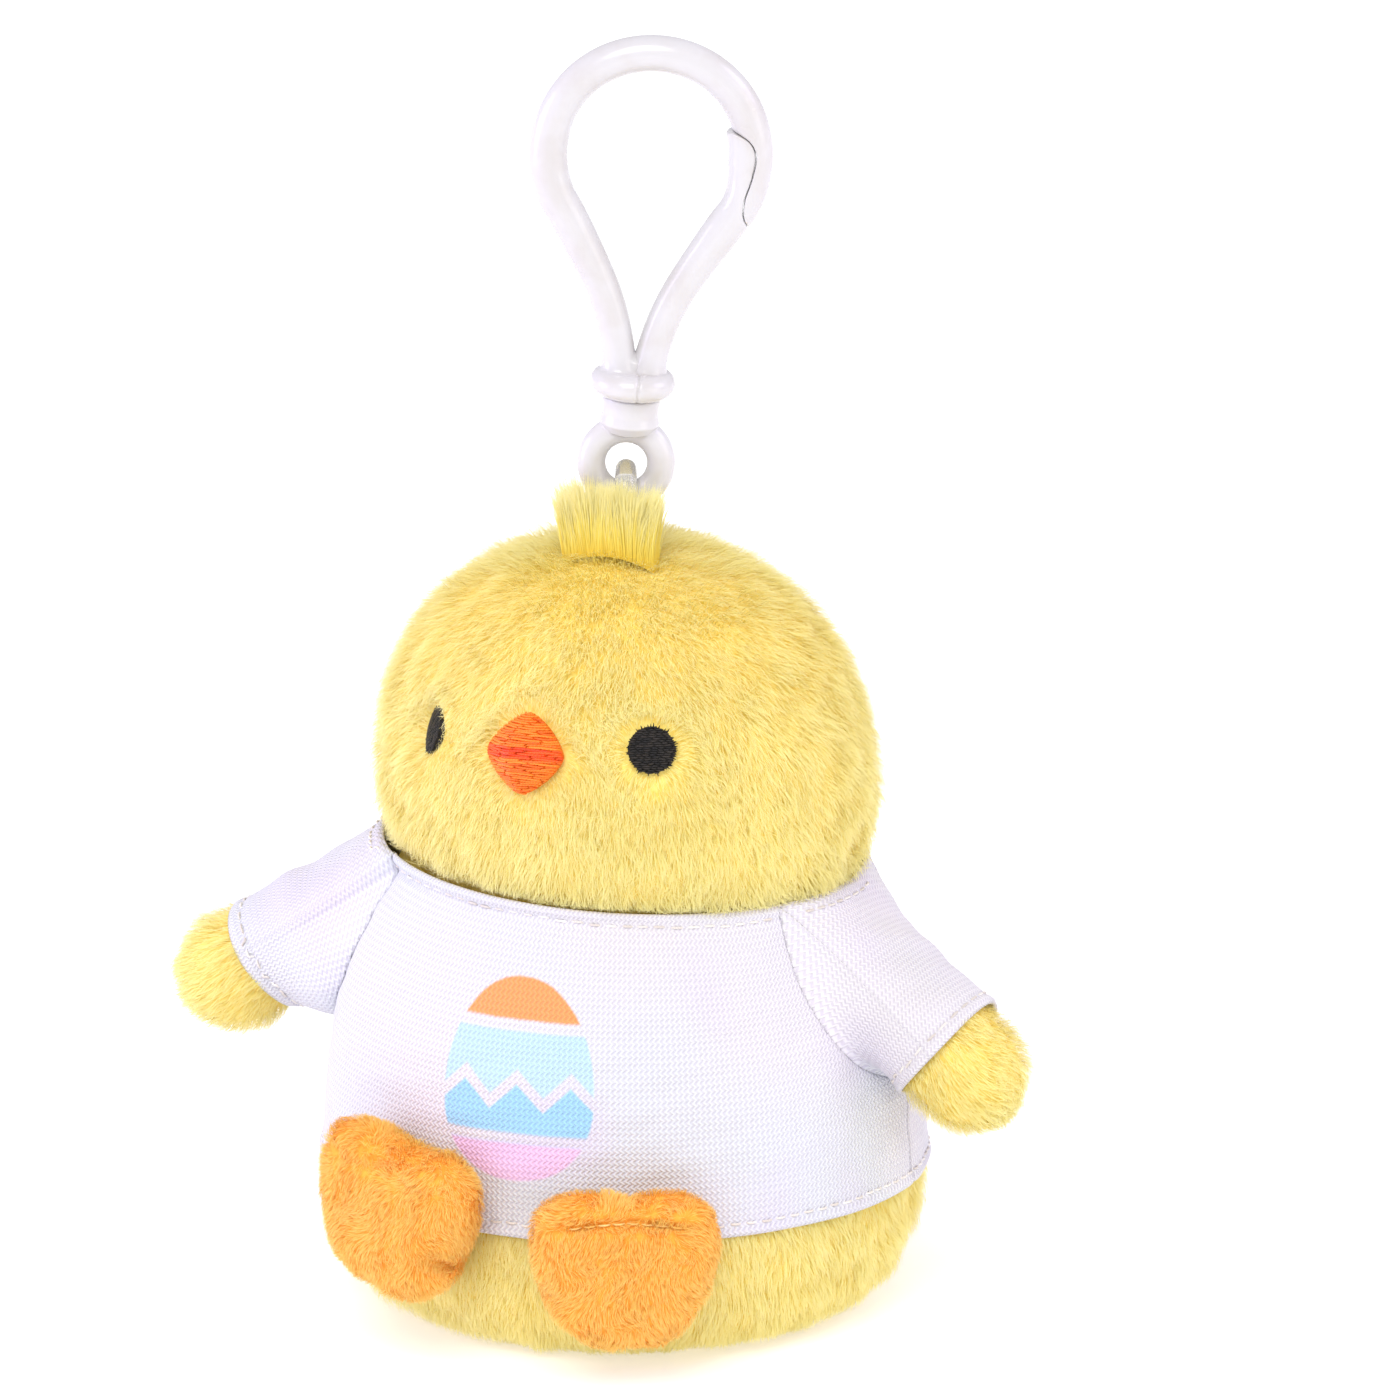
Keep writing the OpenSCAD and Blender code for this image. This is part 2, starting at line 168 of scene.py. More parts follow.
def waves(points, size, seed, count=7):
    """A smooth random field from about -1 to 1 over points, with bumps about size across."""
    rng = np.random.default_rng(seed)
    total = np.zeros(len(points))
    for _ in range(count):
        direction = unit(rng.normal(size=3))
        total += np.sin(points @ direction * 2 * math.pi / (size * rng.uniform(0.7, 1.5)) + rng.uniform(0, 7))
    return total / math.sqrt(count)


def wave_vectors(points, size, seed):
    return np.stack([waves(points, size, seed + k) for k in range(3)], -1)


# ---- Meshes ----


def mesh_object(name, points, faces, material=None, smooth=True):
    """An object from points in millimetres and lists of corners."""
    mesh = bpy.data.meshes.new(name)
    mesh.from_pydata((np.asarray(points, float) * MM).tolist(), [], faces)
    mesh.polygons.foreach_set("use_smooth", [smooth] * len(mesh.polygons))
    mesh.update()
    obj = bpy.data.objects.new(name, mesh)
    bpy.context.scene.collection.objects.link(obj)
    if material is not None:
        mesh.materials.append(material)
    return obj


def set_uv(obj, name, per_point):
    """A UV map from one pair of numbers for each point."""
    mesh = obj.data
    corner_points = np.empty(len(mesh.loops), np.int32)
    mesh.loops.foreach_get("vertex_index", corner_points)
    layer = mesh.uv_layers.new(name=name)
    layer.uv.foreach_set("vector", np.asarray(per_point, np.float32)[corner_points].ravel())


def grid_faces(rows, columns, wrap=False, first=0):
    faces = []
    for i in range(rows - 1):
        for j in range(columns if wrap else columns - 1):
            k = (j + 1) % columns
            faces.append([first + i * columns + j, first + i * columns + k,
                          first + (i + 1) * columns + k, first + (i + 1) * columns + j])
    return faces


def closed_faces(rings, sides):
    """Faces of a closed form: rings of points, then a point that closes its first end, and one its last."""
    faces = grid_faces(rings, sides, wrap=True)
    first = rings * sides
    last = first + 1
    top = (rings - 1) * sides
    for j in range(sides):
        k = (j + 1) % sides
        faces.append([first, k, j])
        faces.append([last, top + j, top + k])
    return faces


def tube(path, radii, sides=16, across=None, limits=None):
    """Points and faces of a closed tube. across holds a sideways direction for each ring, and limits the
    lowest and highest distance that a ring may reach along it."""
    path = np.asarray(path, float)
    radii = np.broadcast_to(radii, (len(path),))
    along = unit(np.gradient(path, axis=0))
    if across is None:
        hint = np.array([0.0, 0.0, 1.0]) if abs(along[0][2]) < 0.9 else np.array([1.0, 0.0, 0.0])
        across = [unit(np.cross(np.cross(along[0], hint), along[0]))]
        for direction in along[1:]:
            last = across[-1]
            across.append(unit(last - direction * (last @ direction)))
        across = np.array(across)
    up = np.cross(along, across)
    turn = np.arange(sides) * 2 * math.pi / sides
    out = radii[:, None] * np.cos(turn)
    if limits is not None:
        out = np.clip(out, limits[0][:, None], limits[1][:, None])
    rings = (path[:, None] + out[..., None] * across[:, None]
             + (radii[:, None] * np.sin(turn))[..., None] * up[:, None])
    points = np.vstack([rings.reshape(-1, 3), rings[0].mean(0)[None], rings[-1].mean(0)[None]])
    return points, closed_faces(len(path), sides)


def joined(parts):
    """Points and faces of several meshes as one."""
    points, faces, first = [], [], 0
    for p, f in parts:
        points.append(p)
        faces += [[first + i for i in face] for face in f]
        first += len(p)
    return np.vstack(points), faces


def lathe(outline, sides=96):
    """Points and faces of a closed solid, from an outline of [radius, height] with both ends on the axis."""
    inner = np.asarray(outline[1:-1], float)
    azimuth = np.arange(sides) * 2 * math.pi / sides
    rings = around(azimuth[None, :], inner[:, :1], inner[:, 1:])
    points = np.vstack([rings.reshape(-1, 3), [[0, 0, outline[0][1]]], [[0, 0, outline[-1][1]]]])
    return points, closed_faces(len(inner), sides)


def apply_modifiers(obj):
    bpy.context.view_layer.update()
    evaluated = obj.evaluated_get(bpy.context.evaluated_depsgraph_get())
    mesh = bpy.data.meshes.new_from_object(evaluated)
    obj.modifiers.clear()
    old = obj.data
    obj.data = mesh
    bpy.data.meshes.remove(old)
    return obj


def points_of(obj):
    co = np.empty(len(obj.data.vertices) * 3)
    obj.data.vertices.foreach_get("co", co)
    return co.reshape(-1, 3) / MM


def normals_of(obj):
    no = np.empty(len(obj.data.vertices) * 3)
    obj.data.vertices.foreach_get("normal", no)
    return no.reshape(-1, 3)


def move_points(obj, points):
    obj.data.vertices.foreach_set("co", (np.asarray(points) * MM).ravel())
    obj.data.update()


def remeshed(obj, voxel):
    modifier = obj.modifiers.new("Remesh", "REMESH")
    modifier.mode = "VOXEL"
    modifier.voxel_size = voxel * MM
    modifier.use_smooth_shade = True
    return apply_modifiers(obj)


def smoothed(obj, times, factor=0.5):
    modifier = obj.modifiers.new("Smooth", "SMOOTH")
    modifier.iterations = times
    modifier.factor = factor
    return apply_modifiers(obj)


def subdivided(obj, levels=1):
    modifier = obj.modifiers.new("Subdivision", "SUBSURF")
    modifier.levels = levels
    modifier.render_levels = levels
    return apply_modifiers(obj)


SIM_SCALE = 20           # cloth works badly on very small meshes, so a copy this much larger is simulated


def stuffed(obj, voxel, cap, pressure=4.0, frames=20):
    """Fills a closed mesh out with a cloth simulation, moves no point further than cap, and smooths it."""
    remeshed(obj, voxel)
    rest = points_of(obj)
    move_points(obj, rest * SIM_SCALE)
    cloth = obj.modifiers.new("Cloth", "CLOTH")
    cloth.settings.quality = 5
    cloth.settings.mass = 0.3
    cloth.settings.tension_stiffness = 15
    cloth.settings.compression_stiffness = 15
    cloth.settings.shear_stiffness = 5
    cloth.settings.bending_stiffness = 0.5
    cloth.settings.use_pressure = True
    cloth.settings.uniform_pressure_force = pressure
    cloth.settings.effector_weights.gravity = 0
    cloth.point_cache.frame_start = 1
    cloth.point_cache.frame_end = frames
    scene = bpy.context.scene
    for step in range(1, frames + 1):
        scene.frame_set(step)
    graph = bpy.context.evaluated_depsgraph_get()
    swollen = np.empty(len(obj.data.vertices) * 3)
    obj.evaluated_get(graph).data.vertices.foreach_get("co", swollen)
    obj.modifiers.clear()
    moved = swollen.reshape(-1, 3) / MM / SIM_SCALE - rest
    length = np.linalg.norm(moved, axis=1, keepdims=True)
    move_points(obj, rest + moved * np.minimum(1, cap / np.maximum(length, 1e-9)))
    scene.frame_set(1)
    smoothed(obj, 3)
    return subdivided(obj)


# ---- Materials ----


def srgb(red, green, blue):
    """A colour given as 0 to 255, as the shader's linear values."""
    channels = [c / 255 for c in (red, green, blue)]
    return tuple(c / 12.92 if c < 0.04045 else ((c + 0.055) / 1.055) ** 2.4 for c in channels) + (1.0,)


class Material:
    """A Principled material and short calls for the nodes that feed it."""

    def __init__(self, name, colour, roughness=0.8, **values):
        self.material = bpy.data.materials.new(name)
        self.material.use_nodes = True
        self.nodes = self.material.node_tree.nodes
        self.links = self.material.node_tree.links
        self.shader = self.nodes["Principled BSDF"]
        self.shader.inputs["Base Color"].default_value = colour
        self.shader.inputs["Roughness"].default_value = roughness
        for socket, value in values.items():
            self.shader.inputs[socket.replace("_", " ")].default_value = value

    def put(self, socket, value):
        if isinstance(value, bpy.types.NodeSocket):
            self.links.new(value, socket)
        else:
            socket.default_value = value

    def uv(self, name):
        node = self.nodes.new("ShaderNodeUVMap")
        node.uv_map = name
        split = self.nodes.new("ShaderNodeSeparateXYZ")
        self.links.new(node.outputs[0], split.inputs[0])
        return split.outputs[0], split.outputs[1]

    def place(self):
        return self.nodes.new("ShaderNodeTexCoord").outputs["Object"]

    def math(self, operation, a, b=0.0, c=0.0):
        node = self.nodes.new("ShaderNodeMath")
        node.operation = operation
        for socket, value in zip(node.inputs, (a, b, c)):
            self.put(socket, value)
        return node.outputs[0]

    def range(self, value, low, high, new_low=0.0, new_high=1.0):
        """A smooth step from new_low to new_high as value goes from low to high."""
        node = self.nodes.new("ShaderNodeMapRange")
        node.interpolation_type = "SMOOTHSTEP"
        for socket, number in zip(node.inputs, (value, low, high, new_low, new_high)):
            self.put(socket, number)
        return node.outputs[0]

    def noise(self, scale, detail=2.0, vector=None):
        node = self.nodes.new("ShaderNodeTexNoise")
        node.inputs["Scale"].default_value = scale
        node.inputs["Detail"].default_value = detail
        self.links.new(self.place() if vector is None else vector, node.inputs["Vector"])
        return node.outputs["Fac"]

    def mix(self, share, a, b):
        node = self.nodes.new("ShaderNodeMix")
        node.data_type = "RGBA"
        self.put(node.inputs[0], share)
        self.put(node.inputs[6], a)
        self.put(node.inputs[7], b)
        return node.outputs[2]

    def ramp(self, value, stops):
        node = self.nodes.new("ShaderNodeValToRGB")
        ramp = node.color_ramp
        while len(ramp.elements) < len(stops):
            ramp.elements.new(0.5)
        for element, (position, colour) in zip(ramp.elements, stops):
            element.position = position
            element.color = colour
        self.put(node.inputs[0], value)
        return node.outputs[0]

    def colour(self, value):
        self.put(self.shader.inputs["Base Color"], value)

    def roughness(self, value):
        self.put(self.shader.inputs["Roughness"], value)

    def bump(self, height, distance, strength=1.0):
        node = self.nodes.new("ShaderNodeBump")
        node.inputs["Strength"].default_value = strength
        node.inputs["Distance"].default_value = distance * MM
        self.put(node.inputs["Height"], height)
        self.put(self.shader.inputs["Normal"], node.outputs[0])


def pile_material(name, root, middle, tip, patch, spread=0.2):
    """Fibres that let some light through, darker and stronger in colour at the root, partly their own tone
    and partly painted shade down in the pile, and each a little different.
    """
    m = Material(name, middle, 0.75, Sheen_Weight=0.25, Sheen_Roughness=0.4, Sheen_Tint=tip,
                 Specular_IOR_Level=0.25)
    chance, along = m.uv("strand")
    # Root to tip ramp: the darker root end is partly painted shade deep in the pile.
    shade = m.ramp(along, [(0.0, root), (0.45, middle), (1.0, tip)])
    shade = m.mix(m.range(chance, 0.55, 1.0, 0.0, spread), shade, root)
    shade = m.mix(m.range(m.noise(90.0), 0.45, 0.75, 0.0, 0.25), shade, patch)
    m.colour(shade)
    through = m.nodes.new("ShaderNodeBsdfTranslucent")
    m.put(through.inputs["Color"], shade)
    both = m.nodes.new("ShaderNodeMixShader")
    both.inputs[0].default_value = 0.35
    m.links.new(m.shader.outputs[0], both.inputs[1])
    m.links.new(through.outputs[0], both.inputs[2])
    m.links.new(both.outputs[0], m.nodes["Material Output"].inputs["Surface"])
    return m.material


def backing_material(name, colour, deep):
    """The knitted backing that the pile grows from, seen only between fibres."""
    m = Material(name, colour, 0.95)
    m.colour(m.mix(m.range(m.noise(900.0, 3.0), 0.35, 0.65), deep, colour))
    m.bump(m.noise(2500.0), 0.1, 0.5)
    return m.material


def plastic_material():
    """Glossy white moulded plastic with a faint unevenness in its surface."""
    m = Material("clip_plastic", srgb(206, 204, 206), 0.2, Coat_Weight=0.2, Coat_Roughness=0.08,
                 Subsurface_Weight=0.15, Subsurface_Radius=(1.0, 0.9, 0.8), Subsurface_Scale=0.001)
    cloud = m.noise(160.0, 3.0)
    m.colour(m.mix(m.range(cloud, 0.4, 0.7), srgb(210, 208, 211), srgb(204, 200, 200)))
    m.roughness(m.range(cloud, 0.3, 0.8, 0.16, 0.3))
    m.bump(m.noise(220.0, 2.0), 0.06, 0.35)
    return m.material


def clear_material():
    m = Material("clear_strand", srgb(238, 236, 228), 0.12, Transmission_Weight=0.75, IOR=1.45)
    m.roughness(m.range(m.noise(700.0), 0.35, 0.7, 0.08, 0.25))
    m.bump(m.noise(350.0), 0.08, 0.4)
    return m.material


def thread_material(name, dark, light, roughness=0.45):
    """Twisted thread: the twist runs along the strand, and each stitch differs a little."""
    m = Material(name, light, roughness, Sheen_Weight=0.3, Sheen_Roughness=0.3, Sheen_Tint=light)
    chance, along = m.uv("strand")
    twist = m.math("SINE", m.math("MULTIPLY_ADD", along, 60.0, m.math("MULTIPLY", chance, 9.0)))
    m.colour(m.mix(m.range(m.math("ADD", chance, m.math("MULTIPLY", twist, 0.15)), 0.1, 0.9), dark, light))
    m.bump(twist, 0.05, 0.6)
    return m.material


KNIT_COLUMN = 0.75       # width of one column of the knit, mm
KNIT_ROW = 0.85          # height of one row


def knit_height(m, across, up):
    """Columns of the knit, each zigzagging from row to row."""
    row = m.math("DIVIDE", up, KNIT_ROW)
    zigzag = m.math("PINGPONG", row, 0.5)
    column = m.math("MULTIPLY_ADD", zigzag, 1.15, m.math("DIVIDE", across, KNIT_COLUMN))
    yarn = m.math("SINE", m.math("MULTIPLY", column, 2 * math.pi))
    rows = m.math("SINE", m.math("MULTIPLY", row, 2 * math.pi))
    return m.math("MULTIPLY_ADD", rows, 0.35, yarn)


EGG_CENTRE = (-1.0, 40.3)
EGG_W = 21.4
EGG_H = 27.0
ZIGZAG_PITCH = 7.6
ZIGZAG_H = 3.6


def egg_print(m, across, up, cloth, edge_noise):
    """A striped Easter egg. Its bands are measured down from the top of the egg, in millimetres."""
    x = m.math("SUBTRACT", across, EGG_CENTRE[0])
    y = m.math("SUBTRACT", up, EGG_CENTRE[1])
    narrowing = m.math("MULTIPLY_ADD", y, -0.16 / EGG_H, 1.0)
    x_share = m.math("DIVIDE", x, m.math("MULTIPLY", narrowing, EGG_W / 2))
    y_share = m.math("DIVIDE", y, EGG_H / 2)
    distance = m.math("SQRT", m.math("ADD", m.math("POWER", m.math("ABSOLUTE", x_share), 2.2),
                                     m.math("POWER", m.math("ABSOLUTE", y_share), 2.2)))
    distance = m.math("ADD", distance, m.math("MULTIPLY", edge_noise, 0.02))
    inside = m.range(distance, 0.985, 1.025, 1.0, 0.0)
    down = m.math("SUBTRACT", EGG_H / 2, y)
    down = m.math("ADD", down, m.math("MULTIPLY", edge_noise, 0.25))
    zigzag = m.math("PINGPONG", m.math("ADD", x, 20 * ZIGZAG_PITCH), ZIGZAG_PITCH / 2)
    zigzag = m.math("MULTIPLY", zigzag, 2 * ZIGZAG_H / ZIGZAG_PITCH)
    below_line = m.math("SUBTRACT", down, zigzag)
    soft = 0.3
    bands = [  # colour, top and bottom, and what they are measured with
        (srgb(248, 160, 86), -5.0, 5.5, down),
        (srgb(192, 226, 240), 7.0, 40.0, down),
        (None, 12.0, 14.1, below_line),
        (srgb(158, 212, 246), 14.1, 40.0, below_line),
        (None, 20.6, 22.0, down),
        (srgb(244, 204, 242), 22.0, 40.0, down),
    ]
    printed = cloth
    for colour, top, bottom, measure in bands:
        share = m.math("MULTIPLY", m.range(measure, top - soft, top + soft),
                       m.range(measure, bottom - soft, bottom + soft, 1.0, 0.0))
        printed = m.mix(share, printed, cloth if colour is None else colour)
    return m.mix(m.math("MULTIPLY", inside, 0.96), cloth, printed)


def knit_material(name, with_print=False):
    """Fine white knit with faint lavender and blue patches painted in as tints of coloured light, and painted
    shade in the gaps between its columns.
    """
    m = Material(name, srgb(228, 225, 232), 0.7, Sheen_Weight=0.3, Sheen_Roughness=0.5,
                 Specular_IOR_Level=0.3)
    across, up = m.uv("cloth")
    height = knit_height(m, across, up)
    # Painted tints of coloured light: blue patches, then lavender ones.
    painted_blue_tint = m.noise(28.0, 1.0)
    cloth = m.mix(m.range(painted_blue_tint, 0.35, 0.65), srgb(228, 225, 230), srgb(221, 225, 232))
    cloth = m.mix(m.range(m.noise(45.0, 1.0), 0.5, 0.75, 0.0, 0.6), cloth, srgb(222, 213, 233))
    if with_print:
        cloth = egg_print(m, across, up, cloth, m.math("SUBTRACT", m.noise(1500.0, 2.0), 0.5))
    # Painted shade in the low places between the knit's columns.
    shaded = m.mix(1.0, cloth, srgb(214, 206, 222))
    m.nodes[-1].blend_type = "MULTIPLY"
    m.colour(m.mix(m.range(height, -1.2, 0.2, 0.55, 0.0), cloth, shaded))
    m.bump(height, 0.09, 0.8)
    return m.material


# Darker root colours here and for the tuft: partly the fibres' own tone, partly painted shade deep in the
# pile.
YELLOW_ROOT = srgb(252, 233, 134)
YELLOW = srgb(255, 247, 168)
YELLOW_TIP = srgb(255, 251, 202)
ORANGE_ROOT = srgb(251, 184, 74)
ORANGE = srgb(255, 215, 110)
ORANGE_TIP = srgb(255, 228, 150)

yellow_pile = pile_material("yellow_pile", YELLOW_ROOT, YELLOW, YELLOW_TIP, srgb(252, 236, 142))
tuft_pile = pile_material("tuft_pile", srgb(252, 224, 84), srgb(253, 238, 124), srgb(248, 244, 196),
                          srgb(250, 230, 100))
orange_pile = pile_material("orange_pile", ORANGE_ROOT, ORANGE, ORANGE_TIP, srgb(252, 196, 88))
yellow_backing = backing_material("yellow_backing", srgb(251, 230, 134), srgb(244, 214, 108))
orange_backing = backing_material("orange_backing", srgb(249, 178, 68), srgb(240, 158, 52))
clip_plastic = plastic_material()
clear_strand = clear_material()
eye_thread = thread_material("eye_thread", srgb(8, 7, 6), srgb(44, 38, 32), 0.5)
beak_thread = thread_material("beak_thread", srgb(246, 104, 18), srgb(255, 140, 40), 0.4)
# Darker red-orange thread for the mouth's fold: painted shade in the fold.
fold_shade_thread = thread_material("fold_shade_thread", srgb(238, 62, 10), srgb(250, 92, 22), 0.4)
cream_thread = thread_material("cream_thread", srgb(224, 215, 208), srgb(248, 243, 238), 0.6)
seam_thread = thread_material("seam_thread", srgb(240, 186, 90), srgb(252, 224, 150), 0.5)
plain_knit = knit_material("plain_knit")
printed_knit = knit_material("printed_knit", with_print=True)


# ---- Pile ----


def samples(obj, density, rng):
    """Random points on a mesh, density to the square millimetre, with their normals."""
    mesh = obj.data
    mesh.calc_loop_triangles()
    corners_of = np.empty(len(mesh.loop_triangles) * 3, np.int32)
    mesh.loop_triangles.foreach_get("vertices", corners_of)
    corners_of = corners_of.reshape(-1, 3)
    co, no = points_of(obj), normals_of(obj)
    a, b, c = (co[corners_of[:, k]] for k in range(3))
    area = np.linalg.norm(np.cross(b - a, c - a), axis=1) / 2
    count = int(area.sum() * density)
    chosen = np.searchsorted(np.cumsum(area), rng.random(count) * area.sum())
    chosen = np.minimum(chosen, len(area) - 1)
    u, v = rng.random(count), rng.random(count)
    flip = u + v > 1
    u, v = np.where(flip, 1 - u, u), np.where(flip, 1 - v, v)
    share = np.stack([1 - u - v, u, v], -1)[..., None]
    points = (co[corners_of[chosen]] * share).sum(1)
    normals = unit((no[corners_of[chosen]] * share).sum(1))
    return points, normals


def across_of(direction, normals, rng, twist):
    """Sideways directions for flat fibres that mostly face outwards."""
    side = unit(np.cross(direction, normals))
    turn = rng.uniform(-twist, twist, len(side))[:, None]
    return unit(side * np.cos(turn) + normals * np.sin(turn))


def fibres(name, roots, bends, tips, across, width, facing, material, rng, segments=3):
    """One mesh of flat tapering fibres, each a quadratic curve from its root to its tip. They are shaded
    mostly by facing, the direction that the plush under them faces, as dense soft pile is."""
    count = len(roots)
    flat = unit(np.cross(across, tips - roots))
    outward = np.where((flat * facing).sum(1, keepdims=True) < 0, -1.0, 1.0)
    across, flat = across * outward, flat * outward
    steps = np.linspace(0, 1, segments + 1)
    taper = 1 - steps**2 * 0.75
    rows = []
    for t, w in zip(steps[:-1], taper[:-1]):
        centre = roots * (1 - t) ** 2 + bends * 2 * t * (1 - t) + tips * t * t
        rows += [centre - across * width[:, None] * w / 2, centre + across * width[:, None] * w / 2]
    rows.append(tips)
    per = len(rows)
    points = np.stack(rows, 1).reshape(-1, 3)
    start = np.arange(count)[:, None] * per
    quads = [start + np.array([[2 * i, 2 * i + 1, 2 * i + 3, 2 * i + 2]]) for i in range(segments - 1)]
    last = start + np.array([[2 * segments - 2, 2 * segments - 1, 2 * segments]])
    corner_list = np.hstack([*quads, last]).ravel()
    sizes = np.tile([4] * (segments - 1) + [3], count)
    mesh = bpy.data.meshes.new(name)
    mesh.vertices.add(len(points))
    mesh.vertices.foreach_set("co", (points * MM).astype(np.float32).ravel())
    mesh.loops.add(len(corner_list))
    mesh.loops.foreach_set("vertex_index", corner_list.astype(np.int32))
    mesh.polygons.add(len(sizes))
    starts = np.concatenate([[0], np.cumsum(sizes)[:-1]])
    mesh.polygons.foreach_set("loop_start", starts.astype(np.int32))
    mesh.polygons.foreach_set("use_smooth", np.ones(len(sizes), bool))
    mesh.update(calc_edges=True)
    shading = unit(facing * 0.7 + flat * 0.3)
    mesh.normals_split_custom_set_from_vertices(np.repeat(shading, per, axis=0))
    mesh.materials.append(material)
    obj = bpy.data.objects.new(name, mesh)
    bpy.context.scene.collection.objects.link(obj)
    along = np.tile(np.append(np.repeat(steps[:-1], 2), 1.0), count)
    set_uv(obj, "strand", np.stack([np.repeat(rng.random(count), per), along], -1))
    return obj


def gathered(points, tips, spacing, share):
    """Draws the tips of fibres together into wisps about spacing across."""
    order = np.random.default_rng(5).permutation(len(points))
    wanted = max(4, int(len(points) * min(1.0, 1 / max(1.0, spacing**2 * 4))))
    centres = order[:wanted]
    tree = kdtree.KDTree(len(centres))
    for i, centre in enumerate(centres):
        tree.insert(points[centre], i)
    tree.balance()
    nearest = centres[np.array([tree.find(p)[1] for p in points])]
    return tips + (tips[nearest] + (points - points[nearest]) * 0.25 - tips) * share


def fur(name, base, density, length, lift, comb, material, seed, keep=None, width=0.11, wild=0.25,
        wisp=1.6, share=0.45, segments=3, shorten=None, parts=1, twist=0.6, lowest=None):
    """Pile grown from a base mesh. comb gives each fibre's direction, keep says which roots grow, and shorten
    scales each fibre's length and height. No fibre bends below lowest. The pile is divided among a number of
    pieces of equal size."""
    rng = np.random.default_rng(seed)
    points, normals = samples(base, density, rng)
    if keep is not None:
        kept = keep(points)
        points, normals = points[kept], normals[kept]
    count = len(points)
    direction = comb(points, normals) + wild * wave_vectors(points, 9.0, seed) * 0.6
    direction += rng.normal(size=(count, 3)) * wild
    direction = unit(direction - normals * (direction * normals).sum(1, keepdims=True))
    scale = np.ones(count) if shorten is None else shorten(points)
    reach = length * scale * rng.uniform(0.65, 1.15, count)
    height = lift(points) if callable(lift) else lift
    height = height * scale * rng.uniform(0.45, 1.15, count) * (1 + 0.25 * waves(points, 5.0, seed + 50))
    roots = points - normals * 0.25
    tips = points + direction * reach[:, None] * 0.85 + normals * height[:, None]
    tips = gathered(points, tips, wisp, share)
    bends = points + direction * reach[:, None] * 0.25 + normals * height[:, None] * 0.9
    if lowest is not None:
        floor = lowest(points)
        tips[:, 2] = np.maximum(tips[:, 2], floor + 0.5 * rng.random(count))
        bends[:, 2] = np.maximum(bends[:, 2], floor)
    across = across_of(direction, normals, rng, twist)
    widths = width * rng.uniform(0.7, 1.2, count)
    group = np.arange(count) % parts
    pieces = []
    for part in range(parts):
        at = group == part
        label = name if parts == 1 else f"{name}_{part + 1}"
        pieces.append(fibres(label, roots[at], bends[at], tips[at], across[at], widths[at], normals[at],
                             material, rng, segments))
    return pieces


# ---- Finishing a piece ----


def attach(obj, body, slot, *nodes):
    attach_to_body(obj, body)
    if nodes:
        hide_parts(*nodes)
    return obj


# ---- Head ----

EYE_R = 3.1
HEAD_LEAN = 0.06         # how far the head leans to the chick's right, for each millimetre of height
LEAN_FROM_Z = 76.0
NECK_DROP = 0.8          # how far the neckline sits below its highest place
NECK_TILT = 1.7          # and how much lower it is on the chick's left


def azimuth_of(points):
    return np.arctan2(points[..., 0], -points[..., 1])


def neck_tilt(azimuth):
    """How far the neckline is moved up at an azimuth, because the shirt sits a little askew."""
    return -NECK_DROP - NECK_TILT * np.sin(azimuth - VIEW_AZIMUTH)


def leaned(points):
    """The head leans a little to its own right, about the height of its cheeks."""
    shift = -HEAD_LEAN * (points[..., 2:] - LEAN_FROM_Z)
    return points + shift * np.array([math.cos(VIEW_AZIMUTH), math.sin(VIEW_AZIMUTH), 0.0])


def face_frame(node, slide=0.0, drop=0.0, turn=0.0, sink=0.0):
    """Centre on the plush, and the outward, sideways and upward directions of an eye or the beak. slide moves
    it sideways, drop lowers it, turn faces it further around the head, and sink sets it in."""
    low, high = corners(node)
    middle = (low + high) / 2 - [0, 0, drop]
    azimuth = math.atan2(middle[0], -middle[1]) + slide / HEAD_R
    flat = np.array([math.sin(azimuth), -math.cos(azimuth), 0.0])
    centre = flat * (float(head_radius(middle[2])) - sink) + np.array([0, 0, middle[2]])
    azimuth += turn
    flat = np.array([math.sin(azimuth), -math.cos(azimuth), 0.0])
    outward = flat * math.cos(FACE_LEAN) + np.array([0, 0, math.sin(FACE_LEAN)])
    sideways = np.array([math.cos(azimuth), math.sin(azimuth), 0.0])
    upward = np.cross(outward, sideways)
    return leaned(centre), outward, sideways, upward * (1 if upward[2] > 0 else -1)


EYES = {
    LEFT: face_frame("eye_left", slide=1.3, drop=0.5, sink=0.2),
    RIGHT: face_frame("eye_right", slide=-1.1, drop=2.1, turn=math.radians(-24), sink=1.6),
}
BEAK = face_frame("beak", slide=0.3)
RIM_HIDDEN = 0.6         # how much of the right eye's rim the pile hides
BEAK_HALF = 5.5
BEAK_LEN = 6.3


def face_distance(points):
    """Distance outside the nearest eye or the beak, and the direction away from it."""
    best = np.full(len(points), 99.0)
    away = np.zeros((len(points), 3))
    features = ((EYES[LEFT], EYE_R), (EYES[RIGHT], EYE_R - RIM_HIDDEN), (BEAK, None))
    for (centre, _, sideways, upward), size in features:
        offset = points - centre
        x, y = offset @ sideways, offset @ upward
        if size is None:
            gap = (np.abs(x) + np.abs(y) - BEAK_HALF) * 0.71
        else:
            gap = np.hypot(x, y) - size
        front = points[:, 1] < 0
        nearer = (gap < best) & front
        best = np.where(nearer, gap, best)
        away[nearer] = unit(offset)[nearer]
    return best, away


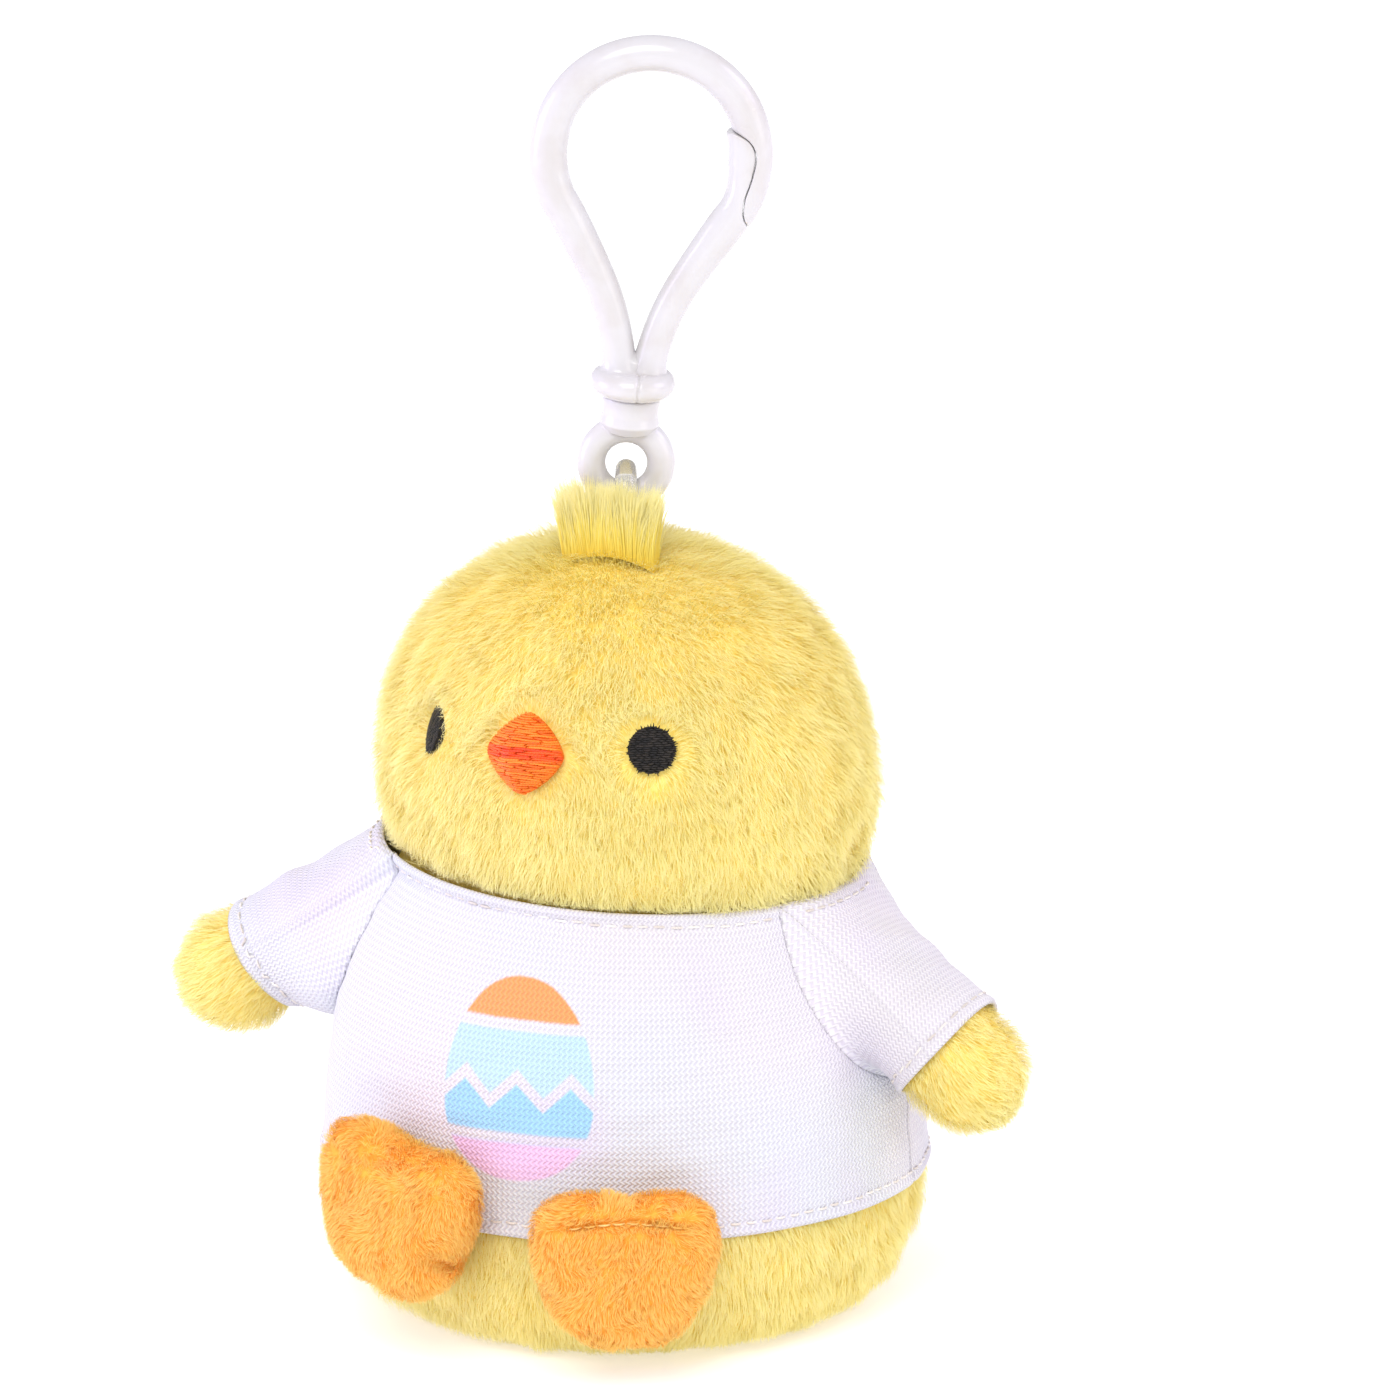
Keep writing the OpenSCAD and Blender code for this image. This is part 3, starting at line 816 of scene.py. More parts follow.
def make_head():
    """The stuffed head, dimpled where the eyes are pulled in, and its long pile."""
    angle = np.linspace(0, math.pi / 2, 22)
    low = np.array([[float(head_radius(z)), z] for z in np.linspace(NECK_Z - 3, HEAD_Z, 10)])
    high = np.stack([HEAD_R * np.cos(angle[1:-1]) ** (2 / HEAD_POWER),
                     HEAD_Z + (CROWN_Z - HEAD_Z) * np.sin(angle[1:-1]) ** (2 / HEAD_POWER)], -1)
    inset = 0.7
    outline = np.vstack([[[0, NECK_Z - 3]], low - [inset, 0], high - [inset, inset], [[0, CROWN_Z - inset]]])
    head = mesh_object("head", *lathe(outline), yellow_backing)
    stuffed(head, 1.5, 0.35)
    points = leaned(points_of(head))
    for (centre, outward, sideways, upward), reach in ((EYES[LEFT], 2.4), (EYES[RIGHT], 3.6), (BEAK, 2.0)):
        offset = points - centre
        gap = np.hypot(offset @ sideways, offset @ upward) - EYE_R
        above = np.maximum(offset @ outward + 0.25, 0) * (points[:, 1] < 0)
        points -= (above * np.exp(-((np.maximum(gap, 0) / reach) ** 2)))[:, None] * outward
    move_points(head, points)
    attach(head, "plush", "yellow_plush", "head_cover", "head_filling")

    crown = np.array([0.0, 0.0, CROWN_Z])

    def comb(points, normals):
        down = unit(points - leaned(crown)) + np.array([0, 0, -0.25])
        gap, away = face_distance(points)
        near = np.exp(-(np.maximum(gap, 0) / 2.5) ** 2)[:, None]
        return unit(down) * (1 - near) + away * near * 1.2

    def keep(points):
        gap, _ = face_distance(points)
        return (points[:, 2] > NECK_Z - 1.0 + neck_tilt(azimuth_of(points))) & (gap > 0.05)

    def lift(points):
        """The pile stands up a little more around the crown."""
        crown_share = np.exp(-((np.hypot(points[:, 0], points[:, 1]) / 13) ** 2)) * (points[:, 2] > HEAD_Z)
        return PILE_H + 0.7 + 0.3 * crown_share

    def shorten(points):
        gap, _ = face_distance(points)
        near = np.exp(-(np.maximum(gap, 0) / 2.0) ** 2)
        return (1 - 0.5 * near) * np.where(points[:, 2] < NECK_Z + 4, 1.1, 1.0)

    def lowest(points):
        """The pile stops at the neckline, and hangs over it a little on the chick's left."""
        azimuth = azimuth_of(points)
        over = np.clip(np.sin(azimuth - VIEW_AZIMUTH), 0, 1)
        return NECKLINE_Z + 0.1 + neck_tilt(azimuth) - 0.7 * over

    for piece in fur("head_pile", head, 12.5, 3.3, lift, comb, yellow_pile, 11, keep, shorten=shorten,
                     parts=4, width=0.09, wild=0.3, wisp=1.0, share=0.25, lowest=lowest):
        attach(piece, "plush", "yellow_plush")


def make_eye(side):
    """An embroidered disc: rows of short black stitches over a low dome, with loose ends around the edge."""
    centre, outward, sideways, upward = EYES[side]
    rng = np.random.default_rng(20 + side)
    centre = centre + outward * 0.1
    name = f"eye_{side_word(side)}"

    def at(x, y, out):
        x, y, out = np.broadcast_arrays(x, y, out)
        return (centre + x[..., None] * sideways + y[..., None] * upward
                + (out + 0.45 * (1 - (x * x + y * y) / EYE_R**2))[..., None] * outward)

    radii = np.linspace(0, EYE_R, 8)[1:]
    turn = np.arange(40) * math.pi / 20
    rim = at(EYE_R * 0.98 * np.cos(turn), EYE_R * 0.98 * np.sin(turn), -1.4)
    disc = np.vstack([rim, *[at(r * np.cos(turn), r * np.sin(turn), 0.0) for r in radii[::-1]],
                      at(np.zeros(1), np.zeros(1), 0.0)])
    faces = grid_faces(len(radii) + 1, 40, wrap=True)
    last = len(disc) - 1
    faces += [[last, last - 40 + j, last - 40 + (j + 1) % 40] for j in range(40)]
    dome = mesh_object(f"{name}_dome", disc, faces, eye_thread)
    set_uv(dome, "strand", np.full((len(disc), 2), 0.2))
    attach(dome, "plush", "eye_thread", name)

    parts, chances = [], []
    row_step = 0.3
    for y in np.arange(-EYE_R + 0.1, EYE_R, row_step):
        half = math.sqrt(max(0.0, EYE_R**2 - y * y))
        x = -half - rng.uniform(0, 0.25)
        while x < half:
            run = rng.uniform(0.7, 1.3)
            end = min(x + run, half + rng.uniform(0.0, 0.3))
            t = np.linspace(0, 1, 5)
            lean = rng.uniform(-0.12, 0.12)
            line = at(x + (end - x) * t, y + lean * (t - 0.5), 0.04 + 0.1 * np.sin(math.pi * t))
            parts.append(tube(line, 0.15 * np.array([0.5, 1, 1, 1, 0.5]), 6))
            chances.append(rng.random())
            x = end + 0.02
    for _ in range(46):
        turn_at = rng.uniform(0, 2 * math.pi)
        r = EYE_R + rng.uniform(-0.15, 0.05)
        spike = np.linspace(0, rng.uniform(0.2, 0.55), 4)
        line = at((r + spike) * math.cos(turn_at), (r + spike) * math.sin(turn_at), 0.12 + spike * 0.5)
        parts.append(tube(line, np.linspace(0.12, 0.03, 4), 5))
        chances.append(rng.random() * 0.5)
    stitches = stitch_object(f"{name}_stitches", parts, chances, eye_thread)
    attach(stitches, "plush", "eye_thread")


def stitch_object(name, parts, chances, material):
    """Many short tubes as one piece, each with its own shade and a twist along its length."""
    points, faces = joined(parts)
    obj = mesh_object(name, points, faces, material)
    uv = np.vstack([
        np.stack([np.full(len(p), chance), np.append(np.linspace(0, 1, len(p) - 2), [0, 1])], -1)
        for (p, _), chance in zip(parts, chances)
    ])
    set_uv(obj, "strand", uv)
    return obj


def beak_height(x, y):
    """How far the beak stands out at x across and y up: a rounded wedge with a crease along the mouth."""
    reach = np.clip(1 - (np.abs(x) ** 1.4 + np.abs(y) ** 1.4) / BEAK_HALF**1.4, 0, 1)
    crease = 0.55 * np.exp(-((y / 0.5) ** 2)) * np.clip(reach * 3, 0, 1)
    return BEAK_LEN * reach**0.8 - crease


def make_beak():
    """A wedge of satin stitch: rows of thread side by side, folded at the mouth."""
    centre, outward, sideways, upward = BEAK
    rng = np.random.default_rng(31)

    def at(x, y, out=0.0):
        x, y = np.broadcast_arrays(x, y)
        height = beak_height(x, y) + out
        return centre + x[..., None] * sideways + y[..., None] * upward + height[..., None] * outward

    n = 33
    grid = np.linspace(-1, 1, n)
    rows = []
    for v in grid:
        y = v * BEAK_HALF
        half = (BEAK_HALF**1.4 - abs(y) ** 1.4) ** (1 / 1.4) if abs(v) < 1 else 0.0
        rows.append(at(grid * half, np.full(n, y), -0.12))
    core = mesh_object("beak_core", np.vstack(rows), grid_faces(n, n), beak_thread)
    set_uv(core, "strand", np.full((n * n, 2), 0.3))
    skin = core.modifiers.new("Solid", "SOLIDIFY")
    skin.thickness = 0.9 * MM
    skin.offset = -1
    apply_modifiers(core)
    attach(core, "plush", "beak_thread", "beak")

    groups = {"beak_threads": ([], []), "beak_fold_shade_threads": ([], [])}
    for y in np.arange(-BEAK_HALF + 0.25, BEAK_HALF - 0.1, 0.3):
        half = (BEAK_HALF**1.4 - abs(y) ** 1.4) ** (1 / 1.4)
        # Rows in the mouth's fold get the darker thread, painted shade of the fold.
        name = "beak_fold_shade_threads" if abs(y) < 0.75 else "beak_threads"
        x = -half + 0.05
        while x < half - 0.15:
            end = min(x + rng.uniform(2.2, 4.2), half - 0.02)
            t = np.linspace(0, 1, 12)
            wave = 0.06 * np.sin(t * 5 + rng.uniform(0, 6))
            line = at(x + (end - x) * t, y + wave, 0.05 + 0.1 * np.sin(math.pi * t))
            groups[name][0].append(tube(line, 0.19 * np.clip(np.sin(math.pi * t) * 4, 0.35, 1), 6))
            groups[name][1].append(rng.random())
            x = end + 0.03
    for name, (parts, chances) in groups.items():
        obj = stitch_object(name, parts, chances, beak_thread if name == "beak_threads" else fold_shade_thread)
        attach(obj, "plush", "beak_thread")


# ---- Body ----


def make_body():
    """The stuffed lower body and the pile that shows below the shirt's hem."""
    inset = 0.7
    seat = np.linspace(0, math.pi / 2, 10)
    lower_r = SEAT_R + (BODY_R - inset - SEAT_R) * np.sin(seat)
    lower = np.stack([lower_r, BELLY_Z - BELLY_Z * np.cos(seat)], -1)
    heights = np.linspace(BELLY_Z, NECK_Z, 24)[1:]
    upper = np.stack([body_radius(heights) - inset, heights], -1)
    outline = np.vstack([[[0, 0]], lower, upper, [[0, NECK_Z]]])
    body = mesh_object("body", *lathe(outline), yellow_backing)
    stuffed(body, 1.8, 0.3)
    points = points_of(body)
    radius = np.hypot(points[:, 0], points[:, 1])
    under = radius > body_radius(np.clip(points[:, 2], 0.5, NECK_Z)) - 0.2
    limit = body_radius(np.clip(points[:, 2], 0.5, NECK_Z)) - 0.2
    points[:, :2] *= np.where(under, limit / np.maximum(radius, 1e-6), 1.0)[:, None]
    points[:, 2] = np.maximum(points[:, 2], 0.05)
    move_points(body, points)
    attach(body, "plush", "yellow_plush", "body_cover", "body_filling")

    def comb(points, normals):
        return np.array([0.0, 0.0, -1.0]) + 0.15 * wave_vectors(points, 14.0, 70)

    def keep(points):
        return (points[:, 2] > 0.6) & (points[:, 2] < HEM_Z + 5)

    def shorten(points):
        return np.clip(0.35 + points[:, 2] / 8, 0.35, 1) * np.clip((HEM_Z + 6 - points[:, 2]) / 5, 0.45, 1)

    for piece in fur("body_pile", body, 11.0, 3.5, PILE_H + 0.4, comb, yellow_pile, 12, keep, shorten=shorten,
                     parts=2, width=0.095, wild=0.27, wisp=1.1, share=0.3):
        points = points_of(piece)
        points[:, 2] = np.maximum(points[:, 2], 0.06)
        move_points(piece, points)
        attach(piece, "plush", "yellow_plush")


def finish_base_panel():
    """The flat seat panel keeps its CAD shape, in the backing cloth."""
    slots = frame["nodes"]["base_panel"].material_slots
    if slots:
        slots[0].material = yellow_backing
    else:
        frame["nodes"]["base_panel"].data.materials.append(yellow_backing)


# ---- Arms ----


def arm_axes(side):
    """The arm's own direction, and two directions across it: forward, and over its top."""
    c, s = math.cos(ARM_DROP[side]), math.sin(ARM_DROP[side])
    along = np.array([side * c * math.cos(ARM_FORWARD), -c * math.sin(ARM_FORWARD), -s])
    over = unit(np.array([0, 0, 1.0]) - along * along[2])
    forward = np.cross(over, along) * -side
    return along, forward * np.sign(-forward[1]), over


def make_arm(side):
    """A stuffed arm whose hand shows beyond the cuff."""
    along, forward, over = arm_axes(side)
    r = HAND_R[side]
    fill = CUFF_FILL[side]
    turn = np.linspace(0, math.pi / 2, 9)
    inner_r = 4.6
    outline = np.vstack([
        [[0, -inner_r]],
        np.stack([inner_r * np.sin(turn[1:]), -inner_r * np.cos(turn[1:])], -1),
        [[inner_r + 0.1, 3], [inner_r + 0.6, 7], [fill - 0.9, 12], [fill, CUFF_AT - 2], [r, ARM_LEN - 1]],
        np.stack([r * np.cos(turn[:-1]), ARM_LEN + r * np.sin(turn[:-1])], -1),
        [[0, ARM_LEN + r]],
    ])
    points, faces = lathe(outline, 48)
    raised = CUFF_RAISE[side] * np.clip(points[:, 2:] / CUFF_AT, 0, 1)
    points = (SHOULDER[side] + points[:, :1] * forward + (points[:, 1:2] + raised) * over
              + points[:, 2:] * along)
    name = f"arm_{side_word(side)}"
    arm = mesh_object(name, points, faces, yellow_backing)
    face_outwards(arm)
    stuffed(arm, 1.1, 0.25)
    attach(arm, name, "yellow_plush", f"{name}_cover", f"{name}_filling")

    def comb(points, normals):
        return along + 0.1 * wave_vectors(points, 8.0, 90 + side)

    def keep(points):
        return (points - SHOULDER[side]) @ along > CUFF_AT - 3.5

    def shorten(points):
        return np.clip(((points - SHOULDER[side]) @ along - CUFF_AT + 4.5) / 5, 0.4, 1)

    for piece in fur(f"{name}_pile", arm, 13.0, 2.9, PILE_H + 0.2, comb, yellow_pile, 40 + side, keep,
                     shorten=shorten, width=0.09, wild=0.26, wisp=0.9, share=0.25):
        attach(piece, name, "yellow_plush")


def face_outwards(obj):
    """Turns the faces of a closed mesh outwards."""
    co = points_of(obj)
    mesh = obj.data
    volume = 0.0
    for polygon in mesh.polygons:
        a, b, c = (co[i] for i in list(polygon.vertices)[:3])
        volume += float(np.dot(a - co.mean(0), np.cross(b - co.mean(0), c - co.mean(0))))
    if volume < 0:
        mesh.flip_normals()


# ---- Feet ----


def foot_frame(side):
    """The heel seam's point, and the foot's outward, sideways and upward directions."""
    heel = joint_point(f"foot_{side_word(side)}_fold")
    azimuth = side * FOOT_ANGLE
    outward = np.array([math.sin(azimuth), -math.cos(azimuth), 0.0])
    level = np.array([math.cos(azimuth), math.sin(azimuth), 0.0])
    roll = FOOT_ROLL[side]
    sideways = level * math.cos(roll) - np.array([0, 0, math.sin(roll)])
    upward = level * math.sin(roll) + np.array([0, 0, math.cos(roll)])
    shift = FOOT_SHIFT[side]
    return heel + shift[0] * sideways + shift[1] * upward, outward, sideways, upward


def foot_outline(count=72):
    """The pad's outline: a nearly straight top edge, round shoulders, and sides closing to a round heel."""
    half, top = FOOT_W / 2, FOOT_H - HEEL_BELOW
    turns = smooth_curve([
        [0, top - 0.2], [half * 0.55, top], [half * 0.9, top - 2.2], [half, top - 6.5],
        [half * 0.95, top - 12],
        [half * 0.76, 2.3], [half * 0.38, -HEEL_BELOW + 0.4], [0, -HEEL_BELOW],
    ], 10)
    whole = np.vstack([turns, turns[-2:0:-1] * [-1, 1]])
    step = np.append(0, np.cumsum(np.linalg.norm(np.diff(np.vstack([whole, whole[:1]]), axis=0), axis=1)))
    wanted = np.linspace(0, step[-1], count, endpoint=False)
    closed = np.vstack([whole, whole[:1]])
    return np.stack([np.interp(wanted, step, closed[:, k]) for k in range(2)], -1)


def foot_seam_height(x):
    """How far the seam under the ridge is above the heel seam, at x across."""
    return FOOT_H - HEEL_BELOW - 3.4 - 0.012 * x * x


def make_foot(side):
    """A small stuffed pad, two panels sewn around their edge, with a rolled ridge along its top."""
    heel, outward, sideways, upward = foot_frame(side)
    name = f"foot_{side_word(side)}"
    outline = foot_outline()
    middle = np.array([0.0, 8.5])
    n = len(outline)

    def place(flat, depth):
        return (heel + flat[:, :1] * sideways + flat[:, 1:] * upward
                + np.broadcast_to(depth, (len(flat),))[:, None] * outward)

    rings, depth_at = [], []
    shrink = [0.0, 0.35, 0.7, 0.9, 0.985]
    half_t = FOOT_T / 2 - 0.2
    for share in shrink:
        rings.append(middle + (outline - middle) * share * FOOT_FILL[side])
        depth_at.append(half_t * (1 - share**4) ** 0.5 + 0.35)
    front = [place(r[:1] if s == 0 else r, FOOT_T / 2 + d) for r, d, s in zip(rings, depth_at, shrink)]
    back = [place(r[:1] if s == 0 else r, FOOT_T / 2 - d) for r, d, s in zip(rings, depth_at, shrink)]
    points = np.vstack([*front[1:], *back[:0:-1], front[0], back[0]])
    faces = closed_faces(2 * (len(shrink) - 1), n)
    pad = mesh_object(name, points, faces, orange_backing)
    face_outwards(pad)
    stuffed(pad, 0.9, 0.9)

    points = points_of(pad)
    x = (points - heel) @ sideways
    y = (points - heel) @ upward
    depth = (points - heel) @ outward
    facing = np.clip((depth - FOOT_T / 2) / 2, 0, 1)
    groove_y = foot_seam_height(x)
    groove = np.exp(-(((y - groove_y) / 0.7) ** 2)) * np.exp(-((x / 9.5) ** 6))
    ridge = np.exp(-(((y - groove_y - 1.9) / 1.3) ** 2)) * np.exp(-((x / 11.0) ** 6))
    pinch_x = FOOT_W * 0.4
    pinch = np.exp(-(((x - pinch_x) / 2.4) ** 2) - ((y - 5.5) / 1.8) ** 2) if side == RIGHT else 0.0
    groove *= 1.0 if side == LEFT else 0.5
    points += ((ridge * 0.5 - groove * 1.0 - pinch * 3.2) * facing)[:, None] * outward
    depth = (points - heel) @ outward
    points += (np.maximum(0.25 - depth, 0))[:, None] * outward
    move_points(pad, points)
    attach(pad, name, "orange_plush", f"{name}_sole", f"{name}_upper", f"{name}_filling")

    def comb(points, normals):
        local = points - heel
        x, y = local @ sideways, local @ upward
        outwards = sideways * 1.0 * (x / FOOT_W)[:, None]
        fall = -upward * np.where(y > FOOT_H - 6.0, 0.2, 0.8)[:, None]
        return outwards + fall + outward * 0.15 + 0.5 * wave_vectors(points, 6.0, 130 + side)

    def keep(points):
        return (points - heel) @ outward > 0.35

    for piece in fur(f"{name}_pile", pad, 17.0, 1.7, 0.95, comb, orange_pile, 60 + side, keep, width=0.11,
                     wild=0.2, wisp=0.8, share=0.45, segments=2):
        attach(piece, name, "orange_plush")

    if side == LEFT:
        make_foot_seam(pad, side)


def make_foot_seam(pad, side):
    """The light thread that shows in the seam below the ridge."""
    heel, outward, sideways, upward = foot_frame(side)
    name = f"foot_{side_word(side)}"
    seam_x = np.linspace(-8.5, 8.5, 60)
    seam_y = foot_seam_height(seam_x)
    surface = surface_finder(pad)
    parts, chances = [], []
    rng = np.random.default_rng(80 + side)
    for start in np.arange(-7.5, 7.0, 1.9):
        t = np.linspace(0, 1, 6)
        xs = start + t * 1.5
        ys = np.interp(xs, seam_x, seam_y)
        line = []
        for a, b, lift in zip(xs, ys, 0.45 + 0.35 * np.sin(math.pi * t)):
            line.append(surface(heel + a * sideways + b * upward + 12 * outward, -outward) + lift * outward)
        parts.append(tube(np.array(line), 0.13, 6))
        chances.append(rng.random())
    seam = stitch_object(f"{name}_seam_thread", parts, chances, seam_thread)
    attach(seam, name, "orange_plush")


def surface_finder(obj):
    """A function that drops a point along a direction onto a mesh."""
    bpy.context.view_layer.update()

    def find(point, direction):
        hit, place, _, _ = obj.ray_cast(Vector(np.asarray(point) * MM), Vector(direction))
        return np.array(place) / MM if hit else np.asarray(point, float)

    return find


# ---- Shirt ----

ARMPIT_Z = 34.0
SEAM_SHIFT = math.radians(4)     # the shirt sits turned this far on the body
raglan = smooth_curve([[ARMPIT_Z, 89], [36, 79.5], [39, 71.5], [43.5, 64.5], [50, 59], [56, 56.5],
                       [NECKLINE_Z, 56]])
BAND = 1.8               # depth of the turned edges
TILT_FROM_Z = 44.0       # the shirt is askew above this height


def seam_azimuth(z, side):
    """Azimuth of the front raglan seam at a height, or of the side seam below the armpit."""
    front = np.radians(np.interp(z, raglan[:, 0], raglan[:, 1]))
    shift = SEAM_SHIFT * np.clip((z - ARMPIT_Z) / (NECKLINE_Z - ARMPIT_Z), 0, 1)
    return side * np.where(z > ARMPIT_Z, front, math.pi / 2) + shift


def edge_roll(distance):
    """The turned edge: thicker between the edge and its row of stitches, and drawn in at the stitches."""
    puff = 0.3 * np.sin(np.clip(distance / BAND, 0, 1) * math.pi)
    draw = -0.16 * np.exp(-(((distance - BAND) / 0.35) ** 2))
    return puff + draw


def torso_point(azimuth, z, out=0.0):
    """A point on the outside of the shirt's body."""
    azimuth, z = np.broadcast_arrays(np.asarray(azimuth, float), np.asarray(z, float))
    height = z + neck_tilt(azimuth) * np.clip((z - TILT_FROM_Z) / (NECKLINE_Z - TILT_FROM_Z), 0, 1)
    base = np.maximum(body_radius(height), head_radius(np.maximum(height, NECK_Z - 1)))
    flat = around(azimuth, base, height).reshape(-1, 3)
    wrinkle = 0.22 * waves(flat * [1, 1, 0.45], 17.0, 3) + 0.1 * waves(flat * [1, 1, 1.6], 8.0, 4)
    wrinkle = wrinkle.reshape(z.shape)
    from_side = np.abs(np.abs(azimuth) - math.pi / 2)
    fold_line = 27 + 20 * np.clip(math.pi / 2 - np.abs(azimuth), 0, 1)
    armpit_fold = 0.5 * np.exp(-(((z - fold_line) / 2.5) ** 2)) * np.exp(-((from_side / 0.7) ** 2))
    taut = np.clip((NECKLINE_Z - z) / 6, 0, 1) * np.clip((z - HEM_Z) / 4 + 0.4, 0, 1)
    flare = 0.35 * np.exp(-((z - HEM_Z) / 3.0)) * (1 + np.sin(azimuth * 5 + 1))
    radius = (base + SHIRT_OUT + out + (wrinkle - armpit_fold * 0.6) * taut + flare
              + edge_roll(z - HEM_Z) + edge_roll(NECKLINE_Z - z))
    return around(azimuth, radius, height)


def make_shirt_panel(front):
    """The front or back of the shirt, from its neckline to its hem, between the raglan and side seams."""
    heights = np.concatenate([[HEM_Z], np.linspace(HEM_Z + 0.25, NECKLINE_Z - 0.25, 96), [NECKLINE_Z]])
    share = np.linspace(-1, 1, 141)
    rows, uvs = [], []
    for z in heights:
        right, left = seam_azimuth(z, RIGHT), seam_azimuth(z, LEFT)
        if front:
            azimuth = (right + left) / 2 + share * (left - right) / 2
        else:
            right, left = -math.pi - right, math.pi - left
            azimuth = np.linspace(left, right + 2 * math.pi, len(share))
        from_seam = (1 - np.abs(share)) * abs(azimuth[-1] - azimuth[0]) / 2 * BODY_R
        dip = -0.2 * np.exp(-from_seam / 0.6)
        tuck = -0.35 if z in (heights[0], heights[-1]) else 0.0
        rows.append(torso_point(azimuth, z, dip + tuck))
        uvs.append(np.stack([azimuth * BODY_R, np.full(len(share), z)], -1))
    name = "shirt_front" if front else "shirt_back"
    panel_name = f"{name}_panel"
    material = printed_knit if front else plain_knit
    panel = mesh_object(panel_name, np.vstack(rows), grid_faces(len(heights), len(share)), material)
    set_uv(panel, "cloth", np.vstack(uvs))
    thicken(panel, 0.55)
    attach(panel, "plush", "shirt_knit", name)
    return panel


def thicken(obj, thickness):
    """Gives a sheet its thickness on the inside, whichever way its faces turn."""
    points, normals = points_of(obj), normals_of(obj)
    outside = ((points - [0, 0, 40]) * normals).sum()
    if outside < 0:
        obj.data.flip_normals()
    skin = obj.modifiers.new("Solid", "SOLIDIFY")
    skin.thickness = thickness * MM
    skin.offset = -1
    return apply_modifiers(obj)


def sleeve_inner(side, count):
    """The sleeve's inner edge: down the front seam, up the back seam, and over the shoulder's neckline."""
    z = np.linspace(NECKLINE_Z, ARMPIT_Z, 60)
    front = seam_azimuth(z, side)
    back = side * math.pi - front
    over = np.linspace(back[0], front[0], 30)[1:-1]
    azimuth = np.concatenate([front, back[::-1][1:], over])
    heights = np.concatenate([z, z[::-1][1:], np.full(len(over), NECKLINE_Z)])
    edge = torso_point(azimuth, heights, -0.15)
    closed = np.vstack([edge, edge[:1]])
    step = np.append(0, np.cumsum(np.linalg.norm(np.diff(closed, axis=0), axis=1)))
    wanted = np.linspace(0, step[-1], count)
    return np.stack([np.interp(wanted, step, closed[:, k]) for k in range(3)], -1)


SLEEVE_COLUMNS = 145
SLEEVE_ROWS = 34


def sleeve_surface(side):
    """Rows of points from the seam out to the cuff."""
    along, forward, over = arm_axes(side)
    inner = sleeve_inner(side, SLEEVE_COLUMNS)
    offset = inner - SHOULDER[side]
    angle = np.unwrap(np.arctan2(offset @ over, offset @ forward))
    even = np.linspace(angle[0], angle[0] + math.copysign(2 * math.pi, angle[-1] - angle[0]), SLEEVE_COLUMNS)
    angle = angle * 0.5 + even * 0.5
    centre = SHOULDER[side] + along * CUFF_AT + over * CUFF_RAISE[side]
    circle = CUFF_R[side] * (1 + 0.025 * np.sin(3 * angle + side))
    cuff = centre + (circle * np.cos(angle))[:, None] * forward + (circle * np.sin(angle))[:, None] * over
    cuff += (0.5 * np.sin(2 * angle + 1))[:, None] * along
    hole = torso_point(side * math.pi / 2, 50.0)
    chord = np.linalg.norm(cuff - inner, axis=1, keepdims=True)
    outwards = 0.35 if side == LEFT else 0.8
    leave = unit(unit(hole - inner) * (1.1 - outwards) + along * outwards) * chord
    arrive = along * chord * 0.85
    rows = []
    for s in np.linspace(0, 1, SLEEVE_ROWS) ** 0.9:
        rows.append((2 * s**3 - 3 * s**2 + 1) * inner + (s**3 - 2 * s**2 + s) * leave
                    + (3 * s**2 - 2 * s**3) * cuff + (s**3 - s**2) * arrive)
    rows = np.array(rows)
    flat = rows.reshape(-1, 3)
    middle = np.sin(np.linspace(0, 1, SLEEVE_ROWS) * math.pi)[:, None]
    ripple = (0.3 * waves(flat, 9.0, 8 + side)).reshape(rows.shape[:2]) * middle
    centre_line = SHOULDER[side] + along * ((rows - SHOULDER[side]) @ along)[..., None]
    outward = unit(rows - centre_line)
    to_cuff = np.linalg.norm(rows - rows[-1], axis=2)
    to_neck = NECKLINE_Z + neck_tilt(azimuth_of(rows)) - rows[..., 2]
    near_neck = np.where(to_neck < 4, 1.0, 0.0)
    puff = edge_roll(to_cuff) + edge_roll(np.maximum(to_neck, 0)) * near_neck * 0.6
    return rows + (ripple + puff)[..., None] * outward, angle


def make_sleeve(side):
    """A raglan sleeve from the body's seams out to the cuff around the arm."""
    rows, angle = sleeve_surface(side)
    name = f"sleeve_{side_word(side)}"
    along, _, _ = arm_axes(side)
    down = (rows - SHOULDER[side]) @ along
    uv = np.stack(np.broadcast_arrays(angle[None, :] * 10.5, -down), -1).reshape(-1, 2)
    sleeve = mesh_object(f"{name}_panel", rows.reshape(-1, 3), grid_faces(*rows.shape[:2]), plain_knit)
    set_uv(sleeve, "cloth", uv)
    outside = normals_of(sleeve) @ np.array([side, 0, 0])
    if outside.mean() < 0:
        sleeve.data.flip_normals()
    skin = sleeve.modifiers.new("Solid", "SOLIDIFY")
    skin.thickness = 0.55 * MM
    skin.offset = -1
    apply_modifiers(sleeve)
    bend_with_arm(sleeve)
    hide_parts(name)
    return sleeve, rows


def bend_with_arm(obj):
    """Bakes the piece's placement into its mesh."""
    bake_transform(obj)


